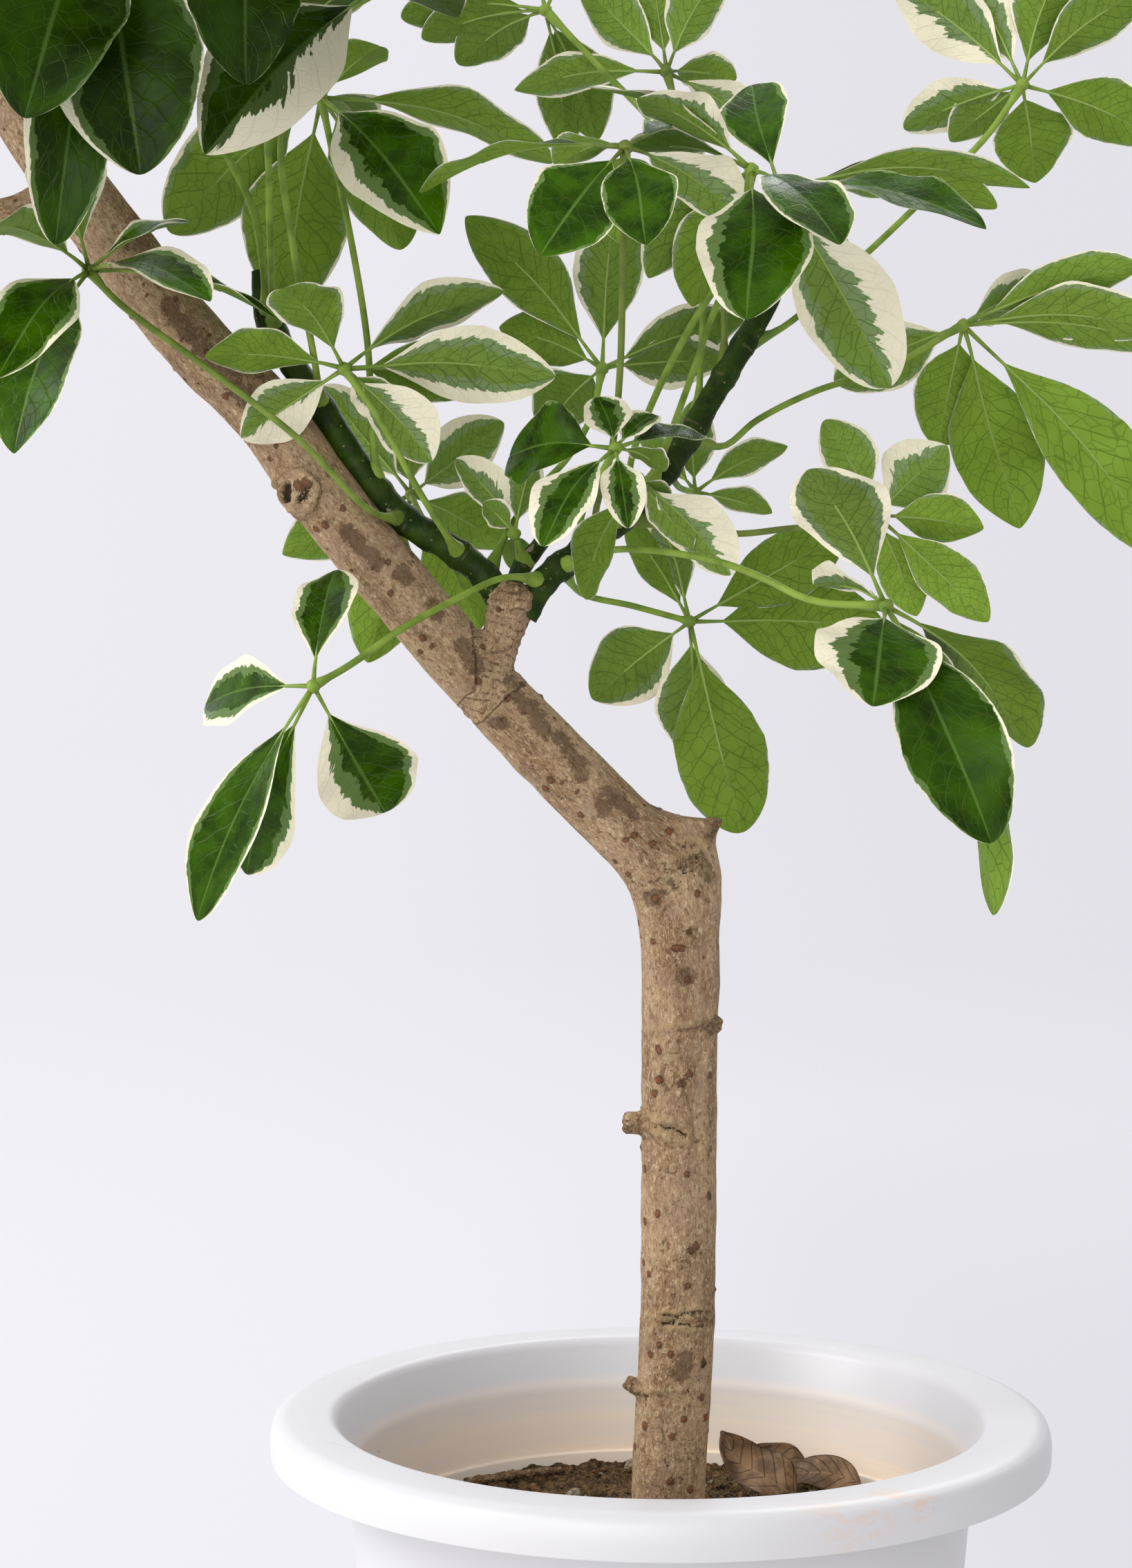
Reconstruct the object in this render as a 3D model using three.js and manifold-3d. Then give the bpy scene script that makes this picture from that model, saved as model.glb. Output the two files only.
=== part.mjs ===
// Potted umbrella plant: a leaning, once pruned woody trunk in a white plastic pot, with green
// shoots that carry palmate leaves, their leaflets spread like the ribs of an umbrella.
// Millimetres, +Z up, origin at the middle of the pot's underside.
import * as THREE from "three";
import { mergeVertices } from "three/addons/utils/BufferGeometryUtils.js";
import Module from "manifold-3d";

const wasm = await Module();
wasm.setup();

// Driving sizes
const RIM_RADIUS = 150; // widest part of the pot
const RIM_WIDTH = 25.6; // flat top of the rim, inside edge to outside edge
const RIM_DROP = 15.5; // how far the rim's skirt hangs down
const POT_HEIGHT = 250;
const POT_FOOT_RADIUS = 98.5;
const POT_NECK_RADIUS = 121; // outside of the wall where the rim starts
const POT_WALL = 3;
const POT_FLOOR = 8; // top of the pot's bottom plate
const FOOT_RISE = 3; // the bottom plate stands this high between its middle and its outer ring
const REST_RADIUS = 24; // flat middle of the underside
const DRAIN_RADIUS = 7;
const DRAIN_COUNT = 6;
const SOIL_LEVEL = 199;
const SEAT_GAP = 0.3; // between a piece and what carries it
const BLADE_THICKNESS = 1.6; // of a leaflet at its rib
const BLADE_FOLD = 0.2; // rise of a blade's edge over its half width
const BLADE_ARCH = 0.09; // rise of a leaflet's middle over its length
const STALK_SHARE = 0.17; // of a leaflet's length that is bare stalk
const STALK_RADIUS = 0.95;
const PETIOLE_RADIUS = 1.5;
const HUB_RADIUS = 4.4;

// The photographed side of the plant is laid out on an upright plane through the pot's axis, as it
// looks to a viewer in front of it. A place is [x, z, depth]: a spot on that plane, then how far
// the real thing lies behind it (or before it, if negative) on the same line of sight.
const VIEWER = new THREE.Vector3(-36, -985, 491);

function seen(x, z, depth) {
  const share = (depth - VIEWER.y) / -VIEWER.y;
  return new THREE.Vector3(x, 0, z).sub(VIEWER).multiplyScalar(share).add(VIEWER);
}

const colours = {
  pot: new THREE.MeshStandardMaterial({ color: 0xf1f0f2, roughness: 0.35, metalness: 0 }),
  soil: new THREE.MeshStandardMaterial({ color: 0x4b3c2d, roughness: 0.95, metalness: 0 }),
  bark: new THREE.MeshStandardMaterial({ color: 0xa18c76, roughness: 0.9, metalness: 0 }),
  shoot: new THREE.MeshStandardMaterial({ color: 0x2f5a1c, roughness: 0.5, metalness: 0 }),
  leaf: new THREE.MeshStandardMaterial({ color: 0x557f31, roughness: 0.45, metalness: 0 }),
  litter: new THREE.MeshStandardMaterial({ color: 0x6d5133, roughness: 0.8, metalness: 0 }),
};

// Solids
function volumeWithin(corners, faces) {
  const at = (i) => new THREE.Vector3().fromArray(corners, 3 * i);
  let sum = 0;
  for (let i = 0; i < faces.length; i += 3) {
    sum += at(faces[i]).dot(at(faces[i + 1]).cross(at(faces[i + 2])));
  }
  return sum / 6;
}

function solidOf(geometry) {
  geometry.deleteAttribute("normal");
  geometry.deleteAttribute("uv");
  const merged = mergeVertices(geometry, 1e-4);
  const index = merged.index.array;
  const triVerts = [];
  for (let i = 0; i < index.length; i += 3) {
    const [a, b, c] = index.slice(i, i + 3);
    if (a !== b && b !== c && c !== a) triVerts.push(a, b, c);
  }
  const vertProperties = merged.attributes.position.array;
  if (volumeWithin(vertProperties, triVerts) < 0) triVerts.reverse();
  return new wasm.Manifold(
    new wasm.Mesh({ numProp: 3, vertProperties, triVerts: new Uint32Array(triVerts) }),
  );
}

function pieceOf(name, solid, material) {
  const { vertProperties, triVerts } = solid.getMesh();
  const geometry = new THREE.BufferGeometry()
    .setAttribute("position", new THREE.BufferAttribute(new Float32Array(vertProperties), 3))
    .setIndex(new THREE.BufferAttribute(triVerts, 1));
  geometry.computeVertexNormals();
  const piece = new THREE.Mesh(geometry, material);
  piece.name = name;
  return piece;
}

// A closed skin over a row of rings that all have the same number of corners. Both halves of a
// ring are split into triangles alike, so the two faces of a thin blade stay parallel.
function loft(rings) {
  const sides = rings[0].length;
  const corners = rings.flat().flatMap((corner) => corner.toArray());
  const faces = [];
  for (let r = 0; r + 1 < rings.length; r += 1) {
    for (let s = 0; s < sides; s += 1) {
      const a = r * sides + s;
      const b = r * sides + ((s + 1) % sides);
      const [c, d] = [a + sides, b + sides];
      if (s < sides / 2) faces.push(a, b, c, b, d, c);
      else faces.push(a, b, d, a, d, c);
    }
  }
  const last = (rings.length - 1) * sides;
  for (let s = 1; s + 1 < sides; s += 1) {
    faces.push(0, s + 1, s, last, last + s, last + s + 1);
  }
  const geometry = new THREE.BufferGeometry()
    .setAttribute("position", new THREE.Float32BufferAttribute(corners, 3))
    .setIndex(faces);
  return solidOf(geometry);
}

// A stem runs through points, with a radius at each.
class Stem {
  constructor(points, radii) {
    this.curve = new THREE.CatmullRomCurve3(points, false, "centripetal");
    this.curve.arcLengthDivisions = 400;
    this.radii = radii;
  }

  radiusAt(t) {
    const along = t * (this.radii.length - 1);
    const i = Math.min(Math.floor(along), this.radii.length - 2);
    return THREE.MathUtils.lerp(this.radii[i], this.radii[i + 1], along - i);
  }

  solid(steps, sides, grow = 0) {
    const frames = this.curve.computeFrenetFrames(steps, false);
    const rings = [];
    for (let i = 0; i <= steps; i += 1) {
      const t = this.curve.getUtoTmapping(i / steps);
      const radius = this.radiusAt(t) + grow;
      const ring = [];
      for (let s = 0; s < sides; s += 1) {
        const angle = (2 * Math.PI * s) / sides;
        const corner = this.curve.getPoint(t);
        corner.addScaledVector(frames.normals[i], radius * Math.cos(angle));
        corner.addScaledVector(frames.binormals[i], radius * Math.sin(angle));
        ring.push(corner);
      }
      rings.push(ring);
    }
    return loft(rings);
  }

  // The point of the middle line that the viewer sees nearest to a spot.
  nearest(x, z) {
    const points = this.curve.getPoints(120);
    const miss = (point) => {
      const share = (point.y - VIEWER.y) / -VIEWER.y;
      const seenX = VIEWER.x + (point.x - VIEWER.x) / share;
      const seenZ = VIEWER.z + (point.z - VIEWER.z) / share;
      return Math.hypot(seenX - x, seenZ - z);
    };
    return points.reduce((best, point) => (miss(point) < miss(best) ? point : best));
  }
}

// Leaves
const ROOT = 2.3; // distance from the hub's middle at which a leaflet's stalk starts
const STATIONS = [STALK_SHARE, 0.41, 0.72]; // of a leaflet, between root and tip
const SMALL_STATIONS = [STALK_SHARE, 0.6]; // of a leaflet narrower than the next value
const SMALL_WIDTH = 25;

// Half the width of a blade, over its widest half, at a share of the leaflet's length.
function outline(share) {
  const along = (share - STALK_SHARE) / (1 - STALK_SHARE);
  if (along <= 0) return 0;
  return Math.sin(Math.PI * along ** 1.2) ** 0.7;
}

// Where a leaflet's tip can be, so that it is seen at a spot and lies a given reach from its hub.
function tipsSeen(hub, x, z, reach) {
  const ray = new THREE.Vector3(x, 0, z).sub(VIEWER);
  const toHub = VIEWER.clone().sub(hub);
  const a = ray.lengthSq();
  const b = ray.dot(toHub);
  const root = Math.sqrt(Math.max(b * b - a * (toHub.lengthSq() - reach * reach), 0));
  return [(-b + root) / a, (-b - root) / a].map((s) => VIEWER.clone().addScaledVector(ray, s));
}

// How far a leaflet's upper side (U) or lower side (L) is turned to the viewer, doubled where the
// whole face shows.
const TO_VIEWER = { U: 0.3, L: -0.3, UU: 2, LL: -2 };

// The frame of a leaflet: its direction, its upper side's normal and the way across it.
function leafletFrame(hub, tip, axis, roll) {
  const along = tip.clone().sub(hub);
  const reach = along.length();
  along.divideScalar(reach);
  const up = axis.clone().addScaledVector(along, -axis.dot(along)).normalize();
  up.applyAxisAngle(along, THREE.MathUtils.degToRad(roll));
  const across = new THREE.Vector3().crossVectors(along, up);
  return { along, reach, up, across };
}

function leafletSolid(hub, tip, axis, width, roll, grow = 0) {
  const { along, reach, up, across } = leafletFrame(hub, tip, axis, roll);
  const middle = (share) => {
    const point = hub.clone().addScaledVector(along, share * reach);
    return point.addScaledVector(up, BLADE_ARCH * reach * Math.sin(Math.PI * share));
  };
  const stations = width < SMALL_WIDTH ? SMALL_STATIONS : STATIONS;
  const rings = [ROOT / reach, ...stations].map((share) => {
    const half = (width / 2) * outline(share);
    const side = Math.max(half, STALK_RADIUS) + grow;
    const thick = (half > 0 ? BLADE_THICKNESS / 2 : STALK_RADIUS) + grow;
    const rise = half * BLADE_FOLD;
    const left = middle(share).addScaledVector(across, -side).addScaledVector(up, rise);
    const top = middle(share).addScaledVector(up, thick);
    const right = middle(share).addScaledVector(across, side).addScaledVector(up, rise);
    const bottom = middle(share).addScaledVector(up, -thick);
    return [left, top, right, bottom];
  });
  const end = tip.clone().addScaledVector(along, grow);
  rings.push([end, end, end, end]);
  return loft(rings);
}

// Whorls of leaflets. Each leaf has its hub, the axis that its umbrella opens about, the reach of its
// leaflets, the spot where its petiole leaves its stem, spots that the petiole passes, and its
// leaflets: the spot of the tip, the face that shows (U upper, L lower), the width and, where it
// differs, the reach.
const LEAVES = [
  {
    name: "leaf_left_1", stem: "stem_left", hub: [-221, 690, -52], axis: [-0.2, -0.1, 1], reach: 86,
    base: [-103, 590], petiole: [[-112, 597], [-140, 625], [-175, 652], [-210, 678]], bow: -22,
    leaflets: [
      [-148, 671, "L", 24], [-174, 678, "U", 24], [-182, 709, "U", 24, 60], [-257, 648, "UU", 28],
      [-250, 619, "U", 34], [-262, 706, "L", 28], [-232, 742, "L", 26, 70],
    ],
  },
  {
    name: "leaf_left_2", stem: "stem_left", hub: [-131, 757, -30], axis: [0, 0.2, 1], reach: 90,
    base: [-109, 604], petiole: [[-111, 625], [-113, 662], [-119, 700], [-127, 738]], bow: -6,
    leaflets: [
      [-85, 704, "UU", 38], [-41, 732, "L", 27], [-90, 714, "L", 30, 80], [-108, 777, "L", 18, 45],
      [-100, 698, "L", 32, 82], [-113, 742, "L", 22, 62], [-145, 675, "LL", 40, 86],
      [-190, 705, "LL", 38, 84], [-172, 765, "U", 30, 70],
    ],
  },
  {
    name: "leaf_left_3", stem: "stem_left", hub: [-122, 652, -45], axis: [0, 0.5, 0.85], reach: 66,
    base: [-79, 576], petiole: [[-84, 590], [-95, 608], [-107, 630]], bow: -14,
    leaflets: [
      [-176, 657, "L", 20, 60], [-162, 625, "L", 22, 56], [-146, 683, "L", 24, 58],
      [-60, 682, "L", 24, 72], [-88, 616, "L", 26, 60], [-65, 646, "LL", 26, 62],
      [-40, 649, "LL", 30, 80], [-104, 631, "L", 18, 42],
    ],
  },
  {
    name: "leaf_left_4", stem: "stem_left", hub: [-22, 652, 5], axis: [0, 0.8, 0.6], reach: 72,
    base: [-66, 572], petiole: [[-58, 590], [-48, 604], [-35, 618], [-26, 634]], bow: 6,
    leaflets: [
      [-75, 711, "L", 26, 80], [-17, 720, "L", 26, 72], [-62, 668, "L", 22, 52],
      [33, 671, "L", 24, 64], [28, 655, "L", 24, 58], [-45, 628, "L", 27, 46],
    ],
  },
  {
    name: "leaf_left_5", stem: "stem_left", hub: [-96, 603, 30], axis: [0, 0.9, 0.4], reach: 60,
    base: [-90, 587], petiole: [[-92, 594]], bow: 8,
    leaflets: [
      [-131, 645, "L", 24], [-101, 640, "L", 22, 48], [-58, 582, "L", 22], [-60, 631, "L", 26],
      [-69, 551, "LL", 27], [-113, 538, "L", 28, 68], [-146, 580, "L", 26],
    ],
  },
  {
    name: "leaf_middle_1", stem: "stem_middle", hub: [-56, 588, -14], axis: [0, 0.7, 0.7], reach: 42,
    base: [-52, 577], petiole: [[-54, 583]], bow: -3,
    leaflets: [
      [-79, 617, "L", 18], [-55, 573, "L", 13, 26], [-48, 620, "L", 16, 38], [-68, 600, "L", 12, 26],
    ],
  },
  {
    name: "leaf_right_1", stem: "stem_right", hub: [-134, 529, -70], axis: [-0.4, -0.75, 0.5], reach: 96,
    base: [-46, 572], petiole: [[-60, 571], [-80, 562], [-100, 551], [-120, 537]], bow: -10,
    leaflets: [
      [-125, 574, "U", 26, 60], [-176, 521, "U", 28, 62], [-179, 438, "U", 26, 96],
      [-160, 456, "UU", 32, 86], [-106, 480, "UU", 38, 66],
    ],
  },
  {
    name: "leaf_right_2", stem: "stem_right", hub: [88, 560, -120], axis: [0.3, 0, 1], reach: 92,
    base: [-38, 575], petiole: [[-15, 582], [20, 578], [40, 571], [60, 562]], bow: -20,
    leaflets: [
      [83, 521, "UU", 40, 50], [129, 468, "UU", 34, 94], [143, 505, "L", 34, 86],
      [130, 440, "L", 32, 106], [102, 515, "L", 24, 62], [60, 568, "L", 24, 40],
      [58, 613, "LL", 30, 62],
    ],
  },
  {
    name: "leaf_right_3", stem: "stem_right", hub: [12, 554, 32], axis: [0.15, 0.95, 0.2], reach: 82,
    base: [-38, 575], petiole: [[-30, 565], [-10, 560]], bow: 4,
    leaflets: [
      [-26, 524, "LL", 30, 54], [14, 500, "LL", 31, 58], [32, 472, "LL", 38, 87], [88, 552, "LL", 37],
      [74, 590, "LL", 27, 76], [-3, 603, "L", 20, 54], [-12, 592, "L", 16, 48],
    ],
  },
  {
    name: "leaf_right_4", stem: "stem_right", hub: [-17, 621, -84], axis: [0, -0.2, 1], reach: 52,
    base: [-30, 583], petiole: [[-30, 595], [-24, 608]], bow: -14,
    leaflets: [
      [-58, 618, "UU", 32], [22, 623, "U", 20, 44], [2, 612, "L", 14, 30], [-45, 583, "U", 24],
      [-12, 590, "U", 16, 40], [-24, 641, "U", 20, 50], [-1, 634, "U", 18, 40],
    ],
  },
  {
    name: "leaf_right_5", stem: "stem_right", hub: [-8, 609, -50], axis: [0, 0.6, 0.8], reach: 54,
    base: [-18, 592], petiole: [[-13, 600]], bow: -6,
    leaflets: [
      [-29, 563, "L", 20], [28, 572, "L", 24, 56], [13, 582, "L", 15, 40], [3, 598, "L", 12, 24],
    ],
  },
  {
    name: "leaf_right_6", stem: "stem_right", hub: [-13, 738, -112], axis: [0, 0, 1], reach: 78,
    base: [-26, 585], petiole: [[-24, 599], [-18, 622], [-15, 652], [-14, 692]], bow: -12,
    leaflets: [
      [-92, 720, "U", 26, 80], [-46, 696, "UU", 30, 56], [-5, 700, "UU", 27, 50],
      [-40, 730, "L", 20, 48], [33, 708, "L", 30, 62], [-14, 700, "L", 30, 72], [22, 742, "U", 24, 60],
    ],
  },
  {
    name: "leaf_right_7", stem: "stem_right", hub: [36, 729, -92], axis: [0, 0, 1], reach: 78,
    base: [-10, 599], petiole: [[-11, 615], [-2, 640], [12, 668], [30, 698]], bow: -14,
    leaflets: [
      [-8, 757, "L", 22, 56], [-12, 737, "L", 22, 54], [-27, 761, "U", 22, 72],
      [-4, 687, "L", 26, 66], [13, 676, "L", 26, 68], [34, 671, "UU", 40, 70], [70, 700, "U", 30, 66],
    ],
  },
  {
    name: "leaf_right_8", stem: "stem_right", hub: [84, 595, 0], axis: [0.2, 0.8, 0.5], reach: 54,
    base: [-14, 595], petiole: [[6, 590], [30, 588], [50, 590], [70, 592]], bow: -14,
    leaflets: [
      [112, 622, "LL", 29, 44], [81, 574, "L", 16, 28], [128, 554, "L", 22, 60], [100, 556, "L", 20, 46],
      [64, 632, "L", 22, 44], [126, 590, "L", 20, 44],
    ],
  },
  {
    name: "leaf_right_9", stem: "stem_right", hub: [47, 721, -60], axis: [-0.3, 0, 1], reach: 90,
    base: [-4, 605], petiole: [[5, 628], [13, 650], [24, 680]], bow: -10,
    leaflets: [
      [131, 714, "L", 30, 92], [144, 722, "L", 22, 98], [110, 716, "L", 24, 72],
      [127, 706, "U", 26, 88], [90, 645, "LL", 38, 88], [70, 672, "L", 24, 60], [36, 762, "U", 26, 66],
    ],
  },
  {
    name: "leaf_right_10", stem: "stem_right", hub: [118, 669, 20], axis: [0.3, 0.6, 0.7], reach: 76,
    base: [12, 624], petiole: [[25, 622], [38, 632], [60, 643], [90, 653]], bow: 8,
    leaflets: [
      [68, 647, "LL", 28, 60], [108, 622, "LL", 30, 56], [152, 681, "L", 26, 50],
      [194, 668, "L", 26, 78], [202, 660, "L", 24, 88], [186, 692, "L", 22, 72],
      [197, 580, "LL", 36, 118], [140, 590, "LL", 39, 88],
    ],
  },
  {
    name: "leaf_right_11", stem: "stem_right", hub: [-44, 791, 30], axis: [0, 0.5, 0.85], reach: 66,
    base: [15, 631], petiole: [[16, 650], [17, 682], [14, 715], [0, 744], [-22, 768]], bow: 6,
    leaflets: [
      [-24, 740, "L", 27], [-78, 770, "L", 24, 52], [-92, 780, "L", 24, 58], [-100, 788, "L", 22, 64],
      [-36, 736, "L", 22, 68], [-62, 842, "L", 26, 62], [-14, 826, "L", 26, 58],
    ],
  },
  {
    name: "leaf_right_12", stem: "stem_right", hub: [3, 767, 32], axis: [0, 0.6, 0.8], reach: 56,
    base: [26, 650], petiole: [[24, 690], [16, 725], [8, 750]], bow: 10,
    leaflets: [
      [-4, 820, "L", 24, 60], [26, 810, "L", 24, 54], [43, 739, "L", 22, 54], [30, 764, "L", 18, 40],
      [-32, 802, "L", 24, 54], [-56, 760, "L", 18, 62], [10, 722, "L", 24, 56],
    ],
  },
  {
    name: "leaf_right_13", stem: "stem_right", hub: [141, 762, 22], axis: [0, 0.7, 0.7], reach: 62,
    base: [33, 661], petiole: [[48, 668], [82, 698], [107, 722], [127, 742]], bow: 4,
    leaflets: [
      [90, 803, "L", 28, 70], [116, 812, "L", 22, 60], [160, 816, "L", 24, 60], [194, 803, "L", 26, 70],
      [194, 741, "L", 26, 60], [146, 724, "LL", 32, 46], [95, 745, "L", 22, 54], [113, 740, "L", 22, 42],
    ],
  },
  {
    name: "leaf_right_14", stem: "stem_right", hub: [14, 604, 34], axis: [0, 0.5, 0.8], reach: 40,
    base: [4, 613], petiole: [[8, 606]], bow: 6,
    leaflets: [
      [50, 622, "L", 18, 40], [14, 640, "L", 18, 42], [44, 596, "L", 14, 34], [-8, 626, "L", 14, 36],
    ],
  },
  {
    name: "leaf_top_1", stem: "stem_left", hub: [-214, 836, -128], axis: [-0.1, -0.1, 1], reach: 104,
    base: [-152, 672], petiole: [[-157, 712], [-169, 738], [-192, 790]], bow: -18,
    leaflets: [
      [-246, 749, "UU", 46], [-201, 727, "UU", 48, 106], [-234, 700, "UU", 32, 124],
      [-300, 800, "U", 40], [-270, 880, "L", 38], [-190, 890, "L", 38, 90], [-262, 790, "L", 36],
    ],
  },
  {
    name: "leaf_top_2", stem: "stem_left", hub: [-166, 846, -156], axis: [0.1, 0, 1], reach: 96,
    base: [-150, 666], petiole: [[-151, 710], [-152, 745], [-157, 800]], bow: -20,
    leaflets: [
      [-160, 762, "UU", 36], [-120, 812, "U", 34, 84], [-104, 874, "L", 36], [-170, 920, "L", 36, 88],
      [-228, 880, "L", 34], [-190, 790, "L", 30, 88],
    ],
  },
  {
    name: "leaf_top_3", stem: "stem_left", hub: [-108, 800, -104], axis: [0, 0, 1], reach: 88,
    base: [-131, 637], petiole: [[-134, 658], [-142, 700], [-146, 745], [-130, 782]], bow: -14,
    leaflets: [
      [-176, 735, "UU", 40, 98], [-78, 788, "L", 28, 70], [-127, 840, "L", 32, 84], [-66, 850, "L", 32],
      [-92, 806, "L", 26, 62], [-140, 782, "L", 26, 72],
    ],
  },
];

// The crown past the photographed part of the plant: leaves wound up the trunk's top by the golden
// angle, longer and more level below, shorter and more upright above.
const CROWN_LEAVES = 12;
const CROWN_LEAFLETS = 6;
const CROWN_FROM = 0.79; // share of the trunk's length where the crown starts
const GOLDEN_ANGLE = 137.5;
const TURN = new THREE.Vector3(0, 0, 1);

function polar(turn, lift) {
  const [azimuth, elevation] = [turn, lift].map(THREE.MathUtils.degToRad);
  const flat = Math.cos(elevation);
  return new THREE.Vector3(Math.cos(azimuth) * flat, Math.sin(azimuth) * flat, Math.sin(elevation));
}

function crownLeaf(number, trunk) {
  const height = number / (CROWN_LEAVES - 1);
  const turn = 200 + number * GOLDEN_ANGLE;
  const lift = 14 + 52 * height;
  const length = 128 - 40 * height;
  const foot = trunk.curve.getPointAt(CROWN_FROM + (1 - CROWN_FROM) * 0.93 * height);
  const hub = foot.clone().addScaledVector(polar(turn, lift), length);
  const bend = foot.clone().lerp(hub, 0.5).addScaledVector(TURN, -7);
  const axis = polar(turn, 62);
  const leaflets = [];
  for (let i = 0; i < CROWN_LEAFLETS; i += 1) {
    const reach = 84 - 14 * height + 9 * Math.sin(2.3 * i + number);
    const way = polar(turn + (360 * (i + 0.5)) / CROWN_LEAFLETS, -24 + 9 * Math.cos(1.7 * i + number));
    const lean = way.addScaledVector(polar(turn, 0), -0.12).normalize();
    const tip = hub.clone().addScaledVector(lean, reach);
    leaflets.push({ tip, width: 0.4 * reach, shift: TURN, axis });
  }
  const name = `leaf_crown_${number + 1}`;
  return { name, hub, path: [foot, bend, hub], leaflets };
}

// Real places for a leaf of the list above.
function photographedLeaf(leaf, stems) {
  const hub = seen(...leaf.hub);
  const foot = stems[leaf.stem].nearest(...leaf.base);
  const hubDepth = leaf.hub[2];
  const steps = leaf.petiole.length + 1;
  const bends = leaf.petiole.map(([x, z], i) => {
    const share = (i + 1) / steps;
    const bow = leaf.bow * Math.sin(Math.PI * share);
    return seen(x, z, THREE.MathUtils.lerp(foot.y, hubDepth, share) + bow);
  });
  const axis = new THREE.Vector3(...leaf.axis).normalize();
  const leaflets = leaf.leaflets.map(([x, z, face, width, reach = leaf.reach]) => {
    const tips = tipsSeen(hub, x, z, reach);
    const facing = (tip) => leafletFrame(hub, tip, axis, 0).up.dot(VIEWER.clone().sub(tip));
    const tip = tips.find((end) => facing(end) * TO_VIEWER[face] > 0) ?? tips[0];
    const shift = VIEWER.clone().sub(tip).normalize();
    return { tip, width, shift, axis: axis.clone().addScaledVector(shift, TO_VIEWER[face]) };
  });
  return { name: leaf.name, hub, path: [foot, ...bends, hub], leaflets };
}

function boxesMeet(a, b) {
  return [0, 1, 2].every((i) => a.min[i] <= b.max[i] && b.min[i] <= a.max[i]);
}

// A list of grown solids that tells whether a new one would touch one of them.
class Crowd {
  constructor() {
    this.members = [];
  }

  add(owner, solid) {
    this.members.push({ owner, solid, box: solid.boundingBox() });
  }

  touches(owner, solid) {
    const box = solid.boundingBox();
    return this.members.some(
      (other) =>
        other.owner !== owner &&
        boxesMeet(box, other.box) &&
        !other.solid.intersect(solid).isEmpty(),
    );
  }
}

// A leaflet that would touch what is already there swings its tip along its line of sight, and
// then rolls, until it is clear.
const SWINGS = [0, 8, -8, 16, -16, 24, -24, 32, -32, 42, -42, 54, -54];
const ROLLS = [0, 28, -28, 52, -52];
const CLEARANCE = 0.45;

function petioleStem(leaf) {
  const swelling = leaf.path.map((_, i) => (i === 0 ? 1.9 : 1) * PETIOLE_RADIUS);
  return new Stem(leaf.path, swelling);
}

function petioleSolid(leaf, grow = 0) {
  return petioleStem(leaf).solid(2 + leaf.path.length, 4, grow);
}

function growLeaflets(leaf, crowd) {
  return leaf.leaflets.map(({ tip, width, shift, axis }) => {
    const tries = ROLLS.flatMap((roll) => SWINGS.map((swing) => [roll, swing]));
    const build = ([roll, swing], grow) => {
      const end = tip.clone().addScaledVector(shift, swing);
      return leafletSolid(leaf.hub, end, axis, width, roll, grow);
    };
    const clear = tries.find((pose) => !crowd.touches(leaf.name, build(pose, CLEARANCE)));
    const solid = build(clear ?? tries[0], 0);
    crowd.add(leaf.name, solid);
    return solid;
  });
}

// Trunk and shoots
const TRUNK_FOOT = new THREE.Vector3(3.5, 0, 112); // in the soil
const trunkMain = new Stem(
  [
    TRUNK_FOOT,
    seen(3.7, 214, 0),
    seen(7.4, 286, 0),
    seen(7.7, 339, 0),
    seen(8.1, 393, 0),
    seen(7.4, 434, 0),
    seen(0, 458.5, -1),
    seen(-24, 484.3, -4),
    seen(-50, 510.3, -7),
    seen(-66, 527, -9),
    seen(-95, 560, -14),
    seen(-128, 600, -20),
    seen(-153, 635, -24),
    seen(-178, 660, -28),
    seen(-210, 700, -33),
    seen(-239, 740, -38),
    new THREE.Vector3(-261, -40, 786),
    new THREE.Vector3(-281, -38, 835),
    new THREE.Vector3(-286, -32, 885),
    new THREE.Vector3(-279, -24, 930),
    new THREE.Vector3(-264, -16, 968),
  ],
  [
    12, 14.4, 14.6, 14.6, 15, 15.1, 14.6, 13.6, 13.4, 13, 13, 13.3, 13.2, 12.9, 12.8, 12.6, 12.2,
    11.2, 9.8, 8.2, 5.5,
  ],
);
const stump = new Stem([seen(7.6, 432, 0), seen(9, 462, 0), seen(11, 478.5, 0)], [15.5, 14.8, 13]);
const spur = new Stem(
  [seen(-66, 526, -10), seen(-61.5, 545, -13), seen(-58.5, 556, -14), seen(-56.5, 567, -15)],
  [6.5, 7.2, 8.6, 10.4],
);
const knot = new Stem([seen(-134, 600, -22), seen(-142, 606, -36)], [9.5, 8]);
const sideBranch = new Stem(
  [seen(-230, 724, -40), seen(-250, 712, -46), seen(-272, 712, -52), seen(-290, 722, -56)],
  [7, 6.8, 6, 5],
);
const stubs = [
  new Stem([seen(2, 359.5, -4), seen(-13.5, 359.5, -6)], [4, 3]),
  new Stem([seen(2, 257.6, -4), seen(-13.5, 257.6, -6)], [4, 3]),
  new Stem([seen(10, 397.5, 0), seen(25, 397.5, -3)], [5, 3]),
];

const [TRUNK_STEPS, TRUNK_SIDES] = [38, 12];

function trunkBody(grow) {
  const limbs = [stump.solid(3, 10, grow), spur.solid(3, 8, grow), knot.solid(1, 8, grow)];
  limbs.push(sideBranch.solid(4, 6, grow), ...stubs.map((stub) => stub.solid(1, 6, grow)));
  return limbs.reduce((whole, limb) => whole.add(limb), trunkMain.solid(TRUNK_STEPS, TRUNK_SIDES, grow));
}

const trunk = trunkBody(0);
const trunkSeat = trunkBody(SEAT_GAP);

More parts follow.
